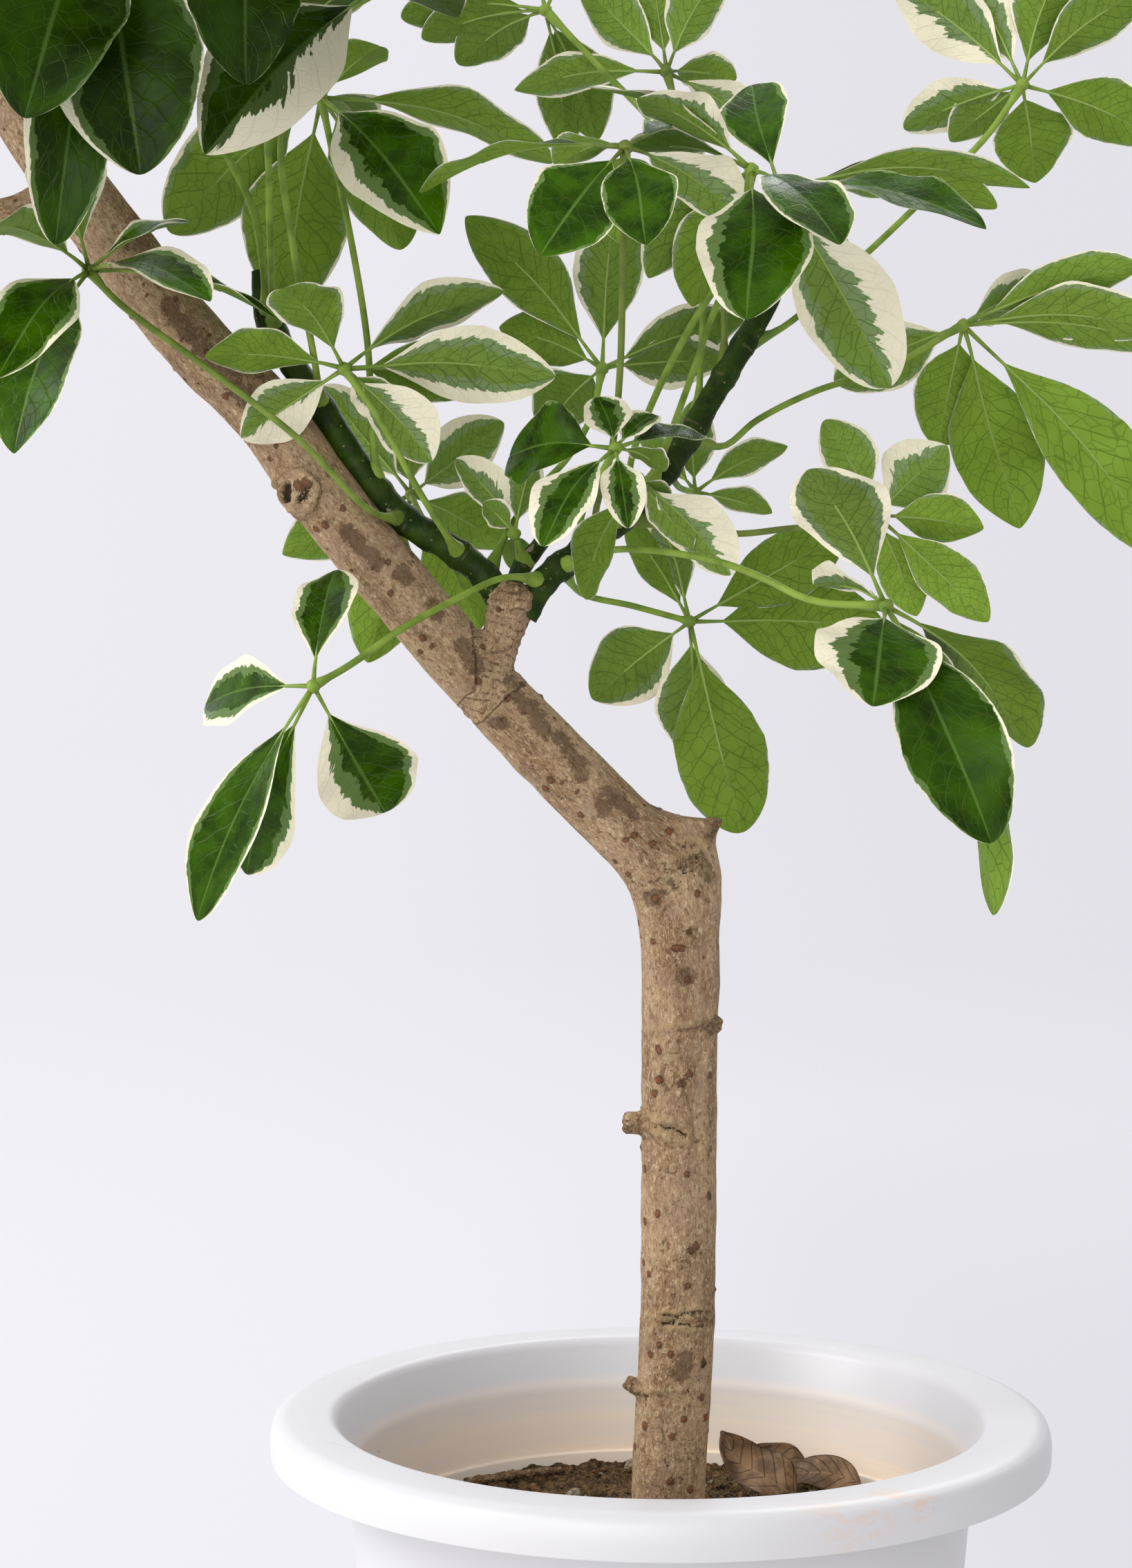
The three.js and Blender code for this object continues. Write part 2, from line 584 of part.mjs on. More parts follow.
const stems = {
  trunk: trunkMain,
  stem_left: new Stem(
    [
      seen(-60, 558, -15),
      seen(-68, 572, -15),
      seen(-82, 583, -15),
      seen(-98, 593, -16),
      seen(-112, 608, -18),
      seen(-124, 626, -20),
      seen(-135, 643, -22),
      seen(-146, 660, -24),
      seen(-153, 676, -26),
      seen(-156, 690, -27),
    ],
    [5, 5.4, 5.4, 5.4, 5.4, 5.2, 5.1, 5, 4.4, 2],
  ),
  stem_right: new Stem(
    [
      seen(-52, 556, -15),
      seen(-44, 570, -15),
      seen(-28, 583, -13),
      seen(-5, 603, -10),
      seen(10, 623, -6),
      seen(20, 640, -3),
      seen(32, 660, 0),
      seen(43, 680, 4),
      seen(51, 704, 8),
      seen(55, 726, 10),
    ],
    [5, 5, 4.9, 4.8, 4.8, 4.7, 4.6, 4.4, 4, 2],
  ),
  stem_middle: new Stem(
    [seen(-57, 558, -8), seen(-55, 572, -6), seen(-46, 584, -2), seen(-34, 602, 2)],
    [3.4, 3.4, 3.2, 2],
  ),
};
const SHOOT_STEPS = { stem_left: 13, stem_right: 13, stem_middle: 4 };
const SHOOT_SIDES = 7;

function largest(solid) {
  const parts = solid.decompose();
  return parts.reduce((best, part) => (part.volume() > best.volume() ? part : best));
}

// Pot and soil, both turned about the upright axis in the same number of flats
const FLATS = 30;

function turned(profile) {
  const points = profile.map(([r, z]) => new THREE.Vector2(r, z));
  return new THREE.LatheGeometry(points, FLATS).rotateX(Math.PI / 2);
}

const LEDGE_LEVEL = 203;
const LEDGE_WIDTH = 1.5;
const wallSlope = (POT_NECK_RADIUS - POT_FOOT_RADIUS) / (POT_HEIGHT - RIM_DROP);
const innerRadius = (z) => POT_FOOT_RADIUS - POT_WALL + wallSlope * z;
const mouth = RIM_RADIUS - RIM_WIDTH;
const skirtEnd = POT_HEIGHT - RIM_DROP;

const potBlank = solidOf(
  turned([
    [0, 0],
    [REST_RADIUS, 0],
    [REST_RADIUS + 2, FOOT_RISE],
    [POT_FOOT_RADIUS - 14, FOOT_RISE],
    [POT_FOOT_RADIUS - 12, 0],
    [POT_FOOT_RADIUS, 0],
    [POT_NECK_RADIUS, skirtEnd],
    [mouth + 1, POT_HEIGHT - 6],
    [mouth + 4.5, POT_HEIGHT - 3],
    [RIM_RADIUS - 5.5, POT_HEIGHT - 3.2],
    [RIM_RADIUS - 2.6, skirtEnd],
    [RIM_RADIUS - 0.5, skirtEnd],
    [RIM_RADIUS, POT_HEIGHT - 6.5],
    [RIM_RADIUS - 1.6, POT_HEIGHT - 2.4],
    [RIM_RADIUS - 5.5, POT_HEIGHT - 0.2],
    [RIM_RADIUS - RIM_WIDTH / 2, POT_HEIGHT],
    [mouth + 2.5, POT_HEIGHT - 0.3],
    [mouth, POT_HEIGHT - 2.5],
    [innerRadius(skirtEnd - 4), skirtEnd - 4],
    [innerRadius(LEDGE_LEVEL), LEDGE_LEVEL],
    [innerRadius(LEDGE_LEVEL) - LEDGE_WIDTH, LEDGE_LEVEL],
    [innerRadius(POT_FLOOR) - LEDGE_WIDTH, POT_FLOOR],
    [0, POT_FLOOR],
  ]),
);
let potSolid = potBlank;
for (let i = 0; i < DRAIN_COUNT; i += 1) {
  const drain = new THREE.CylinderGeometry(DRAIN_RADIUS, DRAIN_RADIUS, 4 * POT_FLOOR, 12);
  const place = polar((360 * i) / DRAIN_COUNT, 0).multiplyScalar(0.62 * POT_FOOT_RADIUS);
  drain.rotateX(Math.PI / 2).translate(place.x, place.y, 0);
  potSolid = potSolid.subtract(solidOf(drain));
}

// Height of the soil: uneven, with a low mound round the trunk and a dip along the wall.
function soilHeight(x, y) {
  const crumbs = 1.5 * Math.sin(0.19 * x + 1) * Math.cos(0.16 * y) + 0.9 * Math.sin(0.31 * (x + y));
  const fromTrunk = Math.hypot(x - 3.7, y);
  return SOIL_LEVEL + crumbs + 5 * Math.exp(-((fromTrunk / 32) ** 2));
}

const soilRadius = (z) => innerRadius(z) - LEDGE_WIDTH - SEAT_GAP;
const soilTop = [0.96, 0.76, 0.56, 0.36, 0.18, 0].map((share) => [share * soilRadius(195), 195]);
const soilGeometry = turned([
  [0, POT_FLOOR + SEAT_GAP],
  [soilRadius(POT_FLOOR + SEAT_GAP), POT_FLOOR + SEAT_GAP],
  [soilRadius(194), 194],
  ...soilTop,
]);
const soilPoints = soilGeometry.attributes.position;
for (let i = 0; i < soilPoints.count; i += 1) {
  const [x, y] = [soilPoints.getX(i), soilPoints.getY(i)];
  if (soilPoints.getZ(i) > 194.5) soilPoints.setZ(i, soilHeight(x, y));
}
const footRoom = [-SEAT_GAP, 1].map((rise) => TRUNK_FOOT.clone().addScaledVector(TURN, rise));
const trunkHole = new Stem(footRoom, [13, 13]).solid(1, TRUNK_SIDES).add(trunkSeat);
const soilSolid = solidOf(soilGeometry).subtract(trunkHole);

// What has dropped on the soil: dry leaflets, each [foot, tip, width, roll], and a bit of twig
const LITTER = [
  { name: "dry_leaf_1", foot: [62, 50, 205], tip: [26, 60, 222], width: 24, roll: 12 },
  { name: "dry_leaf_2", foot: [88, 60, 208], tip: [52, 72, 206], width: 20, roll: -15 },
  { name: "dry_leaf_3", foot: [38, 92, 206], tip: [68, 84, 208], width: 15, roll: 20 },
];

function settled(solid) {
  const step = [0, 0, -SEAT_GAP];
  let lower = solid.translate([0, 0, 12]);
  while (lower.intersect(soilSolid).isEmpty()) lower = lower.translate(step);
  return lower.translate([0, 0, 2 * SEAT_GAP]);
}

const litter = LITTER.map(({ name, foot, tip, width, roll }) => {
  const ends = [foot, tip].map((place) => new THREE.Vector3(...place));
  return { name, solid: settled(leafletSolid(ends[0], ends[1], TURN, width, roll)) };
});
const twig = new Stem(
  [new THREE.Vector3(-78, 70, 203), new THREE.Vector3(-58, 78, 204), new THREE.Vector3(-38, 90, 203)],
  [2, 1.8, 1.4],
);
litter.push({ name: "twig", solid: settled(twig.solid(4, 5)) });

// Everything together: first what is stiff, then the petioles, then leaflet by leaflet.
const plant = new THREE.Group();
const crowd = new Crowd();
crowd.add("trunk", trunk);
crowd.add("pot", potBlank);
crowd.add("soil", soilSolid);
plant.add(pieceOf("pot", potSolid, colours.pot));
plant.add(pieceOf("soil", soilSolid, colours.soil));
plant.add(pieceOf("trunk", trunk, colours.bark));
litter.forEach(({ name, solid }) => plant.add(pieceOf(name, solid, colours.litter)));

let shootSeat = trunkSeat;
const seats = { trunk: trunkSeat };
for (const [name, steps] of Object.entries(SHOOT_STEPS)) {
  const shoot = largest(stems[name].solid(steps, SHOOT_SIDES).subtract(shootSeat));
  const grown = stems[name].solid(steps, SHOOT_SIDES, SEAT_GAP);
  shootSeat = shootSeat.add(grown);
  seats[name] = grown.add(trunkSeat);
  crowd.add(name, shoot);
  plant.add(pieceOf(name, shoot, colours.shoot));
}

const leaves = LEAVES.map((leaf) => photographedLeaf(leaf, stems));
for (let i = 0; i < CROWN_LEAVES; i += 1) leaves.push(crownLeaf(i, trunkMain));
const petioles = leaves.map((leaf) => largest(petioleSolid(leaf).subtract(shootSeat)));
petioles.forEach((petiole, i) => {
  crowd.add(leaves[i].name, petiole);
});

leaves.forEach((leaf, i) => {
  const knob = new THREE.OctahedronGeometry(HUB_RADIUS, 0).translate(...leaf.hub.toArray());
  const blades = growLeaflets(leaf, crowd);
  const whole = blades.reduce((sum, blade) => sum.add(blade), petioles[i].add(solidOf(knob)));
  plant.add(pieceOf(leaf.name, largest(whole), colours.leaf));
});

export default plant;
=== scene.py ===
# Potted umbrella plant: the finished looks of a bent, once pruned trunk with variegated leaves in a
# white plastic pot. Metres and +Z up in the scene; plant data in millimetres, as on the plan.
import math
import random

import bmesh
import bpy
from mathutils import Matrix, Quaternion, Vector, noise
from mathutils.bvhtree import BVHTree
from mathutils.kdtree import KDTree


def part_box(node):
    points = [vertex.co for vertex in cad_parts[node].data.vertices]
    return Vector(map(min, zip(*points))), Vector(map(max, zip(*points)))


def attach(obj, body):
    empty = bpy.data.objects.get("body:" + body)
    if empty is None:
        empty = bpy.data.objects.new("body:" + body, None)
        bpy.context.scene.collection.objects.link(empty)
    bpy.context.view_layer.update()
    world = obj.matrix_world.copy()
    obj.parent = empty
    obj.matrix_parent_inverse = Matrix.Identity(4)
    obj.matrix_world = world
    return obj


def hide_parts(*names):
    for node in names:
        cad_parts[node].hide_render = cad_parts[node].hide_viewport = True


bl_info = {
    "name": "Potted umbrella plant",
    "version": (1, 0, 0),
    "blender": (4, 5, 0),
    "location": "3D View > Sidebar > Plant",
    "description": "Builds a variegated umbrella plant in a white pot around its plain solids",
    "category": "Add Mesh",
}

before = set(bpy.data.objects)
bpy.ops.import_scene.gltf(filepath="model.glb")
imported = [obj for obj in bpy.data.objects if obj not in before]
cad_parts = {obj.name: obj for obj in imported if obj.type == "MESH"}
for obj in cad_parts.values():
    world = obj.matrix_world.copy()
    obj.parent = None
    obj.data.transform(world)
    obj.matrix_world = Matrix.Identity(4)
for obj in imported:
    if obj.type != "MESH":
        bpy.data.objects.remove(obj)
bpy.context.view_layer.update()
BODY = "root"
MM = 0.001

# Sizes that the leaves, stems and pot share with the plain solids, in millimetres
RIM_RADIUS = 150
RIM_WIDTH = 25.6
RIM_DROP = 15.5
POT_HEIGHT = 250
POT_FOOT_RADIUS = 98.5
POT_NECK_RADIUS = 121
POT_WALL = 3
POT_FLOOR = 8
FOOT_RISE = 3
REST_RADIUS = 24
DRAIN_RADIUS = 7
DRAIN_COUNT = 6
DRAIN_CIRCLE = 0.62  # of the foot's radius
LEDGE_LEVEL = 203
LEDGE_WIDTH = 1.5
SOIL_LEVEL = 199
SOIL_EDGE = 195
TRUNK_FOOT_X = 3.7
SEAT_GAP = 0.3
BLADE_FOLD = 0.2  # of the half width
BLADE_ARCH = 0.09  # of the leaflet's length
STALK_SHARE = 0.17  # of the leaflet's length
PETIOLE_RADIUS = 1.5
UP = Vector((0, 0, 1))

# The photographed side is laid out on an upright plane through the pot's axis, as the viewer sees it.
VIEWER = Vector((-36, -985, 491))
FOCAL_SHARE = 3675 / 2268  # of the picture's long side


def seen(x, z, depth):
    """The real place of a spot on the plane, for a thing that lies depth behind it."""
    share = (depth - VIEWER.y) / -VIEWER.y
    return VIEWER + (Vector((x, 0, z)) - VIEWER) * share


def smooth(low, high, value):
    """0 below low, 1 above high, and an even ease between them."""
    t = min(max((value - low) / (high - low), 0), 1)
    return t * t * (3 - 2 * t)


def mix(a, b, t):
    return a + (b - a) * t


def lookup(places):
    """A tree that finds the places near a spot."""
    tree = KDTree(len(places))
    for i, place in enumerate(places):
        tree.insert(place, i)
    tree.balance()
    return tree


# Stems
class Stem:
    """A smooth line through points, with a radius at each."""

    SAMPLES = 400

    def __init__(self, points, radii):
        self.points = [Vector(p) for p in points]
        self.radii = radii
        places = [self.at(i / self.SAMPLES) for i in range(self.SAMPLES + 1)]
        self.lengths = [0.0]
        for here, there in zip(places, places[1:]):
            self.lengths.append(self.lengths[-1] + (there - here).length)

    def at(self, t):
        """The point at a share of the way, counted by given points."""
        last = len(self.points) - 1
        i = min(int(t * last), last - 1)
        weight = t * last - i
        near, far = self.points[i], self.points[i + 1]
        before = self.points[i - 1] if i else 2 * near - far
        after = self.points[i + 2] if i + 2 <= last else 2 * far - near
        steps = [
            (b - a).length ** 0.5 or 1.0
            for a, b in ((before, near), (near, far), (far, after))
        ]
        pull = (near - before) / steps[0] - (far - before) / (steps[0] + steps[1])
        start = (pull + (far - near) / steps[1]) * steps[1]
        pull = (far - near) / steps[1] - (after - near) / (steps[1] + steps[2])
        end = (pull + (after - far) / steps[2]) * steps[1]
        square = -3 * near + 3 * far - 2 * start - end
        cube = 2 * near - 2 * far + start + end
        return near + start * weight + square * weight**2 + cube * weight**3

    def share(self, length_share):
        """The share of the way, by points, that lies at a share of the length."""
        want = length_share * self.lengths[-1]
        i = next((n for n, v in enumerate(self.lengths) if v >= want), self.SAMPLES)
        if i == 0:
            return 0.0
        low, high = self.lengths[i - 1], self.lengths[i]
        return (i - 1 + (want - low) / (high - low)) / self.SAMPLES

    def radius(self, t):
        last = len(self.radii) - 1
        i = min(int(t * last), last - 1)
        return mix(self.radii[i], self.radii[i + 1], t * last - i)

    def nearest(self, x, z):
        """The point of the middle line that is seen nearest to a spot."""
        def miss(point):
            share = (point.y - VIEWER.y) / -VIEWER.y
            spot = VIEWER + (point - VIEWER) / share
            return math.hypot(spot.x - x, spot.z - z)

        return min((self.at(i / 120) for i in range(121)), key=miss)


def frames_along(points):
    """At each point, two unit vectors across the line that turn as little as they can."""
    count = len(points)
    ways = [
        (points[min(i + 1, count - 1)] - points[max(i - 1, 0)]).normalized() for i in range(count)
    ]
    side = ways[0].orthogonal().normalized()
    frames = []
    for way in ways:
        side = (side - way * side.dot(way)).normalized()
        frames.append((side, way.cross(side)))
    return frames


def grid(bm, columns, rows, material=0):
    """A flat, smooth sheet. Returns its vertices row by row."""
    made = bmesh.ops.create_grid(bm, x_segments=columns, y_segments=rows, size=1)["verts"]
    made.sort(key=lambda v: (round(v.co.y, 4), round(v.co.x, 4)))
    for face in {face for vert in made for face in vert.link_faces}:
        face.material_index = material
        face.smooth = True
    return [made[i : i + columns + 1] for i in range(0, len(made), columns + 1)]


def tube(bm, points, radii, sides, material=0):
    """A round skin along points, made from a rolled up sheet. Returns its vertices row by row."""
    rows = grid(bm, sides, len(points) - 1, material)
    for row, point, radius, (side, other) in zip(rows, points, radii, frames_along(points)):
        for column, vert in enumerate(row):
            angle = 2 * math.pi * column / sides
            vert.co = point + (side * math.cos(angle) + other * math.sin(angle)) * radius
    made = [vert for row in rows for vert in row]
    faces = {face for vert in made for face in vert.link_faces}
    seam = [row[0] for row in rows] + [row[-1] for row in rows]
    bmesh.ops.remove_doubles(bm, verts=seam, dist=1e-7)
    caps = []
    for ring in (rows[0], rows[-1]):
        cap = bm.faces.new([vert for vert in ring if vert.is_valid])
        cap.material_index = material
        cap.smooth = True
        caps.append(cap)
    bmesh.ops.recalc_face_normals(bm, faces=[face for face in faces if face.is_valid] + caps)
    return [vert for vert in made if vert.is_valid]


# Meshes and pieces
def mesh_of(bm, name, scale=MM):
    """Turns a bmesh, in millimetres where no scale is given, into a mesh in metres."""
    bmesh.ops.scale(bm, vec=(scale, scale, scale), verts=bm.verts)
    mesh = bpy.data.meshes.new(name)
    bm.to_mesh(mesh)
    bm.free()
    return mesh


def add_object(name, data):
    """A new object in the scene for a mesh, a lamp or a camera."""
    thing = bpy.data.objects.new(name, data)
    bpy.context.scene.collection.objects.link(thing)
    return thing


def discard(helper):
    """Takes a helper object out again, with its mesh."""
    mesh = helper.data
    bpy.data.objects.remove(helper)
    bpy.data.meshes.remove(mesh)


def applied(helper, name):
    """The mesh that a helper object's modifiers make."""
    depsgraph = bpy.context.evaluated_depsgraph_get()
    mesh = bpy.data.meshes.new_from_object(helper.evaluated_get(depsgraph))
    mesh.name = name
    mesh.materials.clear()
    discard(helper)
    return mesh


def add_piece(name, mesh, materials, node):
    """Links a mesh as a piece that rides on the body and stands for a node."""
    for material in materials:
        mesh.materials.append(material)
    piece = add_object(name, mesh)
    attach(piece, BODY)
    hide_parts(node)


# Leaves
TO_VIEWER = {"U": 0.3, "L": -0.3, "UU": 2, "LL": -2}  # pull of a leaflet's normal to the viewer
SWINGS = [0, 8, -8, 16, -16, 24, -24, 32, -32, 42, -42, 54, -54]  # of a tip along the line of sight
ROLLS = [0, 28, -28, 52, -52]  # degrees about the leaflet's own line
SMALL_WIDTH = 25  # narrower plain leaflets have one pair of edges, wider ones more
EDGE_SHARE = {True: 0.6, False: 0.72}  # where the plain solid's last pair of edges is
CREAM_SIDES = {"l": Vector((-1, 0, 0)), "r": Vector((1, 0, 0)), "t": UP, "b": -UP}

CROWN_LEAVES = 12
CROWN_LEAFLETS = 6
CROWN_FROM = 0.79
GOLDEN_ANGLE = 137.5


def outline(share):
    """Half the width of a blade, over its widest half, at a share of the leaflet's length."""
    along = (share - STALK_SHARE) / (1 - STALK_SHARE)
    if along <= 0 or along >= 1:
        return 0.0
    return math.sin(math.pi * along**1.2) ** 0.7


def margin(share, blunt):
    """The finished outline: a tapering foot and a tip from pointed (0) to rounded (1)."""
    along = (share - STALK_SHARE) / (1 - STALK_SHARE)
    if along <= 0 or along >= 1:
        return 0.0
    power = mix(0.98, mix(0.8, 0.5, blunt), smooth(0.1, 0.9, along))
    return math.sin(math.pi * along**1.14) ** power


def tips_seen(hub, x, z, reach):
    """The two places for a tip that is seen at a spot and lies a reach from its hub."""
    ray = Vector((x, 0, z)) - VIEWER
    to_hub = VIEWER - hub
    a, b = ray.length_squared, ray.dot(to_hub)
    root = math.sqrt(max(b * b - a * (to_hub.length_squared - reach * reach), 0))
    return [VIEWER + ray * s for s in ((-b + root) / a, (-b - root) / a)]


def leaflet_frame(hub, tip, axis, roll):
    """Reach of a leaflet, its direction, its upper side's normal and the way across it."""
    along = tip - hub
    reach = along.length
    along = along / reach
    up = (axis - along * axis.dot(along)).normalized()
    up.rotate(Quaternion(along, math.radians(roll)))
    return reach, along, up, along.cross(up)


def polar(turn, lift):
    turn, lift = math.radians(turn), math.radians(lift)
    flat = math.cos(lift)
    return Vector((math.cos(turn) * flat, math.sin(turn) * flat, math.sin(lift)))


def crown_leaf(number, trunk):
    """A leaf of the crown past the picture, wound up the trunk's top by the golden angle."""
    height = number / (CROWN_LEAVES - 1)
    turn = 200 + number * GOLDEN_ANGLE
    lift, length = 14 + 52 * height, 128 - 40 * height
    foot = trunk.at(trunk.share(CROWN_FROM + (1 - CROWN_FROM) * 0.93 * height))
    hub = foot + polar(turn, lift) * length
    bend = foot.lerp(hub, 0.5) - UP * 7
    axis = polar(turn, 62)
    leaflets = []
    for i in range(CROWN_LEAFLETS):
        reach = 84 - 14 * height + 9 * math.sin(2.3 * i + number)
        way = polar(turn + 360 * (i + 0.5) / CROWN_LEAFLETS, -24 + 9 * math.cos(1.7 * i + number))
        tip = hub + (way - polar(turn, 0) * 0.12).normalized() * reach
        cream = 2 + (5 * number + 3 * i) % 5
        leaflets.append(dict(tip=tip, width=0.4 * reach, shift=UP, axis=axis, cream=cream, side=None))
    name = f"leaf_crown_{number + 1}"
    return dict(name=name, in_painted_shade=False, hub=hub, path=[foot, bend, hub], leaflets=leaflets)


def pictured_leaf(leaf, stems):
    """Real places for a leaf of the plan."""
    hub = seen(*leaf["hub"])
    foot = stems[leaf["stem"]].nearest(*leaf["base"])
    steps = len(leaf["petiole"]) + 1
    path = [foot]
    for i, (x, z) in enumerate(leaf["petiole"]):
        share = (i + 1) / steps
        bow = leaf["bow"] * math.sin(math.pi * share)
        path.append(seen(x, z, mix(foot.y, leaf["hub"][2], share) + bow))
    path.append(hub)
    axis = Vector(leaf["axis"]).normalized()
    leaflets = []
    for (x, z, face, width, *rest), look in zip(leaf["leaflets"], leaf["cream"].split()):
        turned = TO_VIEWER[face]
        tips = tips_seen(hub, x, z, rest[0] if rest else leaf["reach"])

        def shows(end):
            return leaflet_frame(hub, end, axis, 0)[2].dot(VIEWER - end) * turned > 0

        tip = next((end for end in tips if shows(end)), tips[0])
        shift = (VIEWER - tip).normalized()
        leaflets.append(dict(
            tip=tip, width=width, shift=shift, axis=axis + shift * turned,
            cream=int(look[0]), side=CREAM_SIDES.get(look[1:]),
        ))
    return dict(name=leaf["name"], in_painted_shade="in_painted_shade" in leaf, hub=hub, path=path, leaflets=leaflets)


def plain_pose(leaf, leaflet, corners):
    """The roll and swing at which the plain solid holds a leaflet, read from its corners."""
    share = EDGE_SHARE[leaflet["width"] < SMALL_WIDTH]
    half = leaflet["width"] / 2 * outline(share)
    best = None
    for roll in ROLLS:
        for swing in SWINGS:
            tip = leaflet["tip"] + leaflet["shift"] * swing
            reach, along, up, across = leaflet_frame(leaf["hub"], tip, leaflet["axis"], roll)
            middle = leaf["hub"] + along * (share * reach)
            middle += up * (BLADE_ARCH * reach * math.sin(math.pi * share) + half * BLADE_FOLD)
            spots = (tip, middle - across * half, middle + across * half)
            miss = sum(min(corners.find(spot)[2], 20) for spot in spots)
            if best is None or miss < best[0] - 1e-3:
                best = (miss, tip, roll)
    return best[1], best[2]


COLUMNS = [-1, -0.8, -0.55, -0.3, -0.07, 0, 0.07, 0.3, 0.55, 0.8, 1]  # across a blade
ROWS = 30  # from a blade's foot to its tip
TIP_CROWDING = 0.26  # how much closer the rows are at the tip
BLADE_ENDS = (STALK_SHARE + 0.004, 0.9985)  # shares of the leaflet's length
HALF_THICKNESS = 0.26
RIB_BULGE = 0.3  # below the blade
RIB_GROOVE = 0.16  # on top of it
STALK_ROWS = 13
STALK_SIDES = 6
PETIOLE_ROWS = 34


def two_skins(bm, materials, lay):
    """An upper and a lower skin, joined at the rim. lay puts a vertex in place and returns its v."""
    uv = bm.loops.layers.uv["blade"]
    rim = []
    for sign, material in zip((1, -1), materials):
        rows = grid(bm, len(COLUMNS) - 1, ROWS, material)
        for number, row in enumerate(rows):
            for u, vert in zip(COLUMNS, row):
                v = lay(vert, sign, u, number)
                for loop in vert.link_loops:
                    loop[uv].uv = (0.5 + 0.5 * u, v)
            rim += [row[0], row[-1]]
        rim += rows[0] + rows[-1]
        if sign < 0:
            faces = {face for row in rows for vert in row for face in vert.link_faces}
            bmesh.ops.reverse_faces(bm, faces=list(faces))
    bmesh.ops.remove_doubles(bm, verts=list(set(rim)), dist=2e-3)


def add_leaflet(bm, hub, tip, leaflet, roll, dice, shade, settings):
    """One leaflet: an upper and a lower skin that meet at the margin, and a stalk with its rib."""
    reach, along, up, across = leaflet_frame(hub, tip, leaflet["axis"], roll)
    seed = dice.random()
    sweep = dice.uniform(-0.022, 0.022) * reach
    twist = dice.uniform(-1, 1) * settings.twist
    waves = [dice.uniform(1.6, 3.4), dice.uniform(1.6, 3.4)]
    phases = [dice.uniform(0, 6.28), dice.uniform(0, 6.28)]
    swell = [dice.uniform(0.92, 1.08), dice.uniform(0.92, 1.08)]
    blunt = dice.random()
    bias = 0.5
    if leaflet["side"] is not None:
        bias = 1.0 if across.dot(leaflet["side"]) > 0 else 0.0
    look = (seed, leaflet["cream"] / 10, bias, shade)
    tone = bm.verts.layers.float_color["tone"]

    def spot(u, share):
        """A place on the blade, from -1 to 1 across it, and the way up there."""
        side = int(u > 0)
        half = leaflet["width"] / 2 * margin(share, blunt) * mix(1, swell[side], abs(u))
        ragged = noise.noise(Vector((share * 7, side * 7 + 0.5, seed * 50)))
        nibbled = noise.noise(Vector((share * 17, side * 7 + 0.5, seed * 50)))
        half *= 1.03 + (0.04 * ragged + 0.022 * nibbled) * abs(u)
        ease = math.sin(math.pi * share)
        point = hub + along * (share * reach) + up * (BLADE_ARCH * reach * ease)
        point += across * (sweep * ease * ease)
        turn = Quaternion(along, twist * (share - 0.5) * ease)
        wide, high = turn @ across, turn @ up
        wave = math.sin(2 * math.pi * waves[side] * share + phases[side])
        rise = settings.fold * half * abs(u) ** 1.25 + settings.wave * half * wave * u * u
        return point + wide * (half * u) + high * rise, high

    def lay(vert, sign, u, row):
        part = row / ROWS
        done = part * (1 + TIP_CROWDING * math.sin(math.pi * part))
        place, high = spot(u, mix(*BLADE_ENDS, done))
        thick = HALF_THICKNESS * (1 - u * u) * min(1, 9 * (1 - part), 0.15 + 8 * part)
        if u == 0:
            thick += (RIB_BULGE if sign < 0 else -RIB_GROOVE) * (1 - part)
        vert.co = place + high * (sign * thick)
        vert[tone] = look
        return done

    two_skins(bm, (0, 1), lay)

    stalk_end = STALK_SHARE + 0.62 * (1 - STALK_SHARE)
    points, radii = [], []
    for i in range(STALK_ROWS):
        share = mix(2.0 / reach, stalk_end, i / (STALK_ROWS - 1))
        place, high = spot(0, share)
        sunk = smooth(STALK_SHARE * 0.8, STALK_SHARE * 1.5, share)
        points.append(place - high * 0.34 * sunk)
        radii.append(mix(0.95, 0.68, smooth(0.02, STALK_SHARE, share)) * mix(1, 0.3, sunk * share))
    for i, vert in enumerate(tube(bm, points, radii, STALK_SIDES, material=2)):
        share = i / (STALK_ROWS * STALK_SIDES) * stalk_end
        rib = smooth(STALK_SHARE * 0.8, STALK_SHARE * 1.6, share)
        vert[tone] = (seed, rib, 0.5, shade)


def petiole_rows(leaf):
    """Middle line and radii of a petiole, swollen at its foot and a little under its hub."""
    line = Stem(leaf["path"], [PETIOLE_RADIUS] * len(leaf["path"]))
    points, radii = [], []
    for i in range(PETIOLE_ROWS + 1):
        share = i / PETIOLE_ROWS
        points.append(line.at(line.share(share)))
        foot = 1 - smooth(0.0, min(20 / line.lengths[-1], 0.6), share)
        collar = smooth(0.93, 1, share)
        radii.append(PETIOLE_RADIUS * (0.86 + 1.9 * foot**1.6 + 0.55 * collar))
    return points, radii


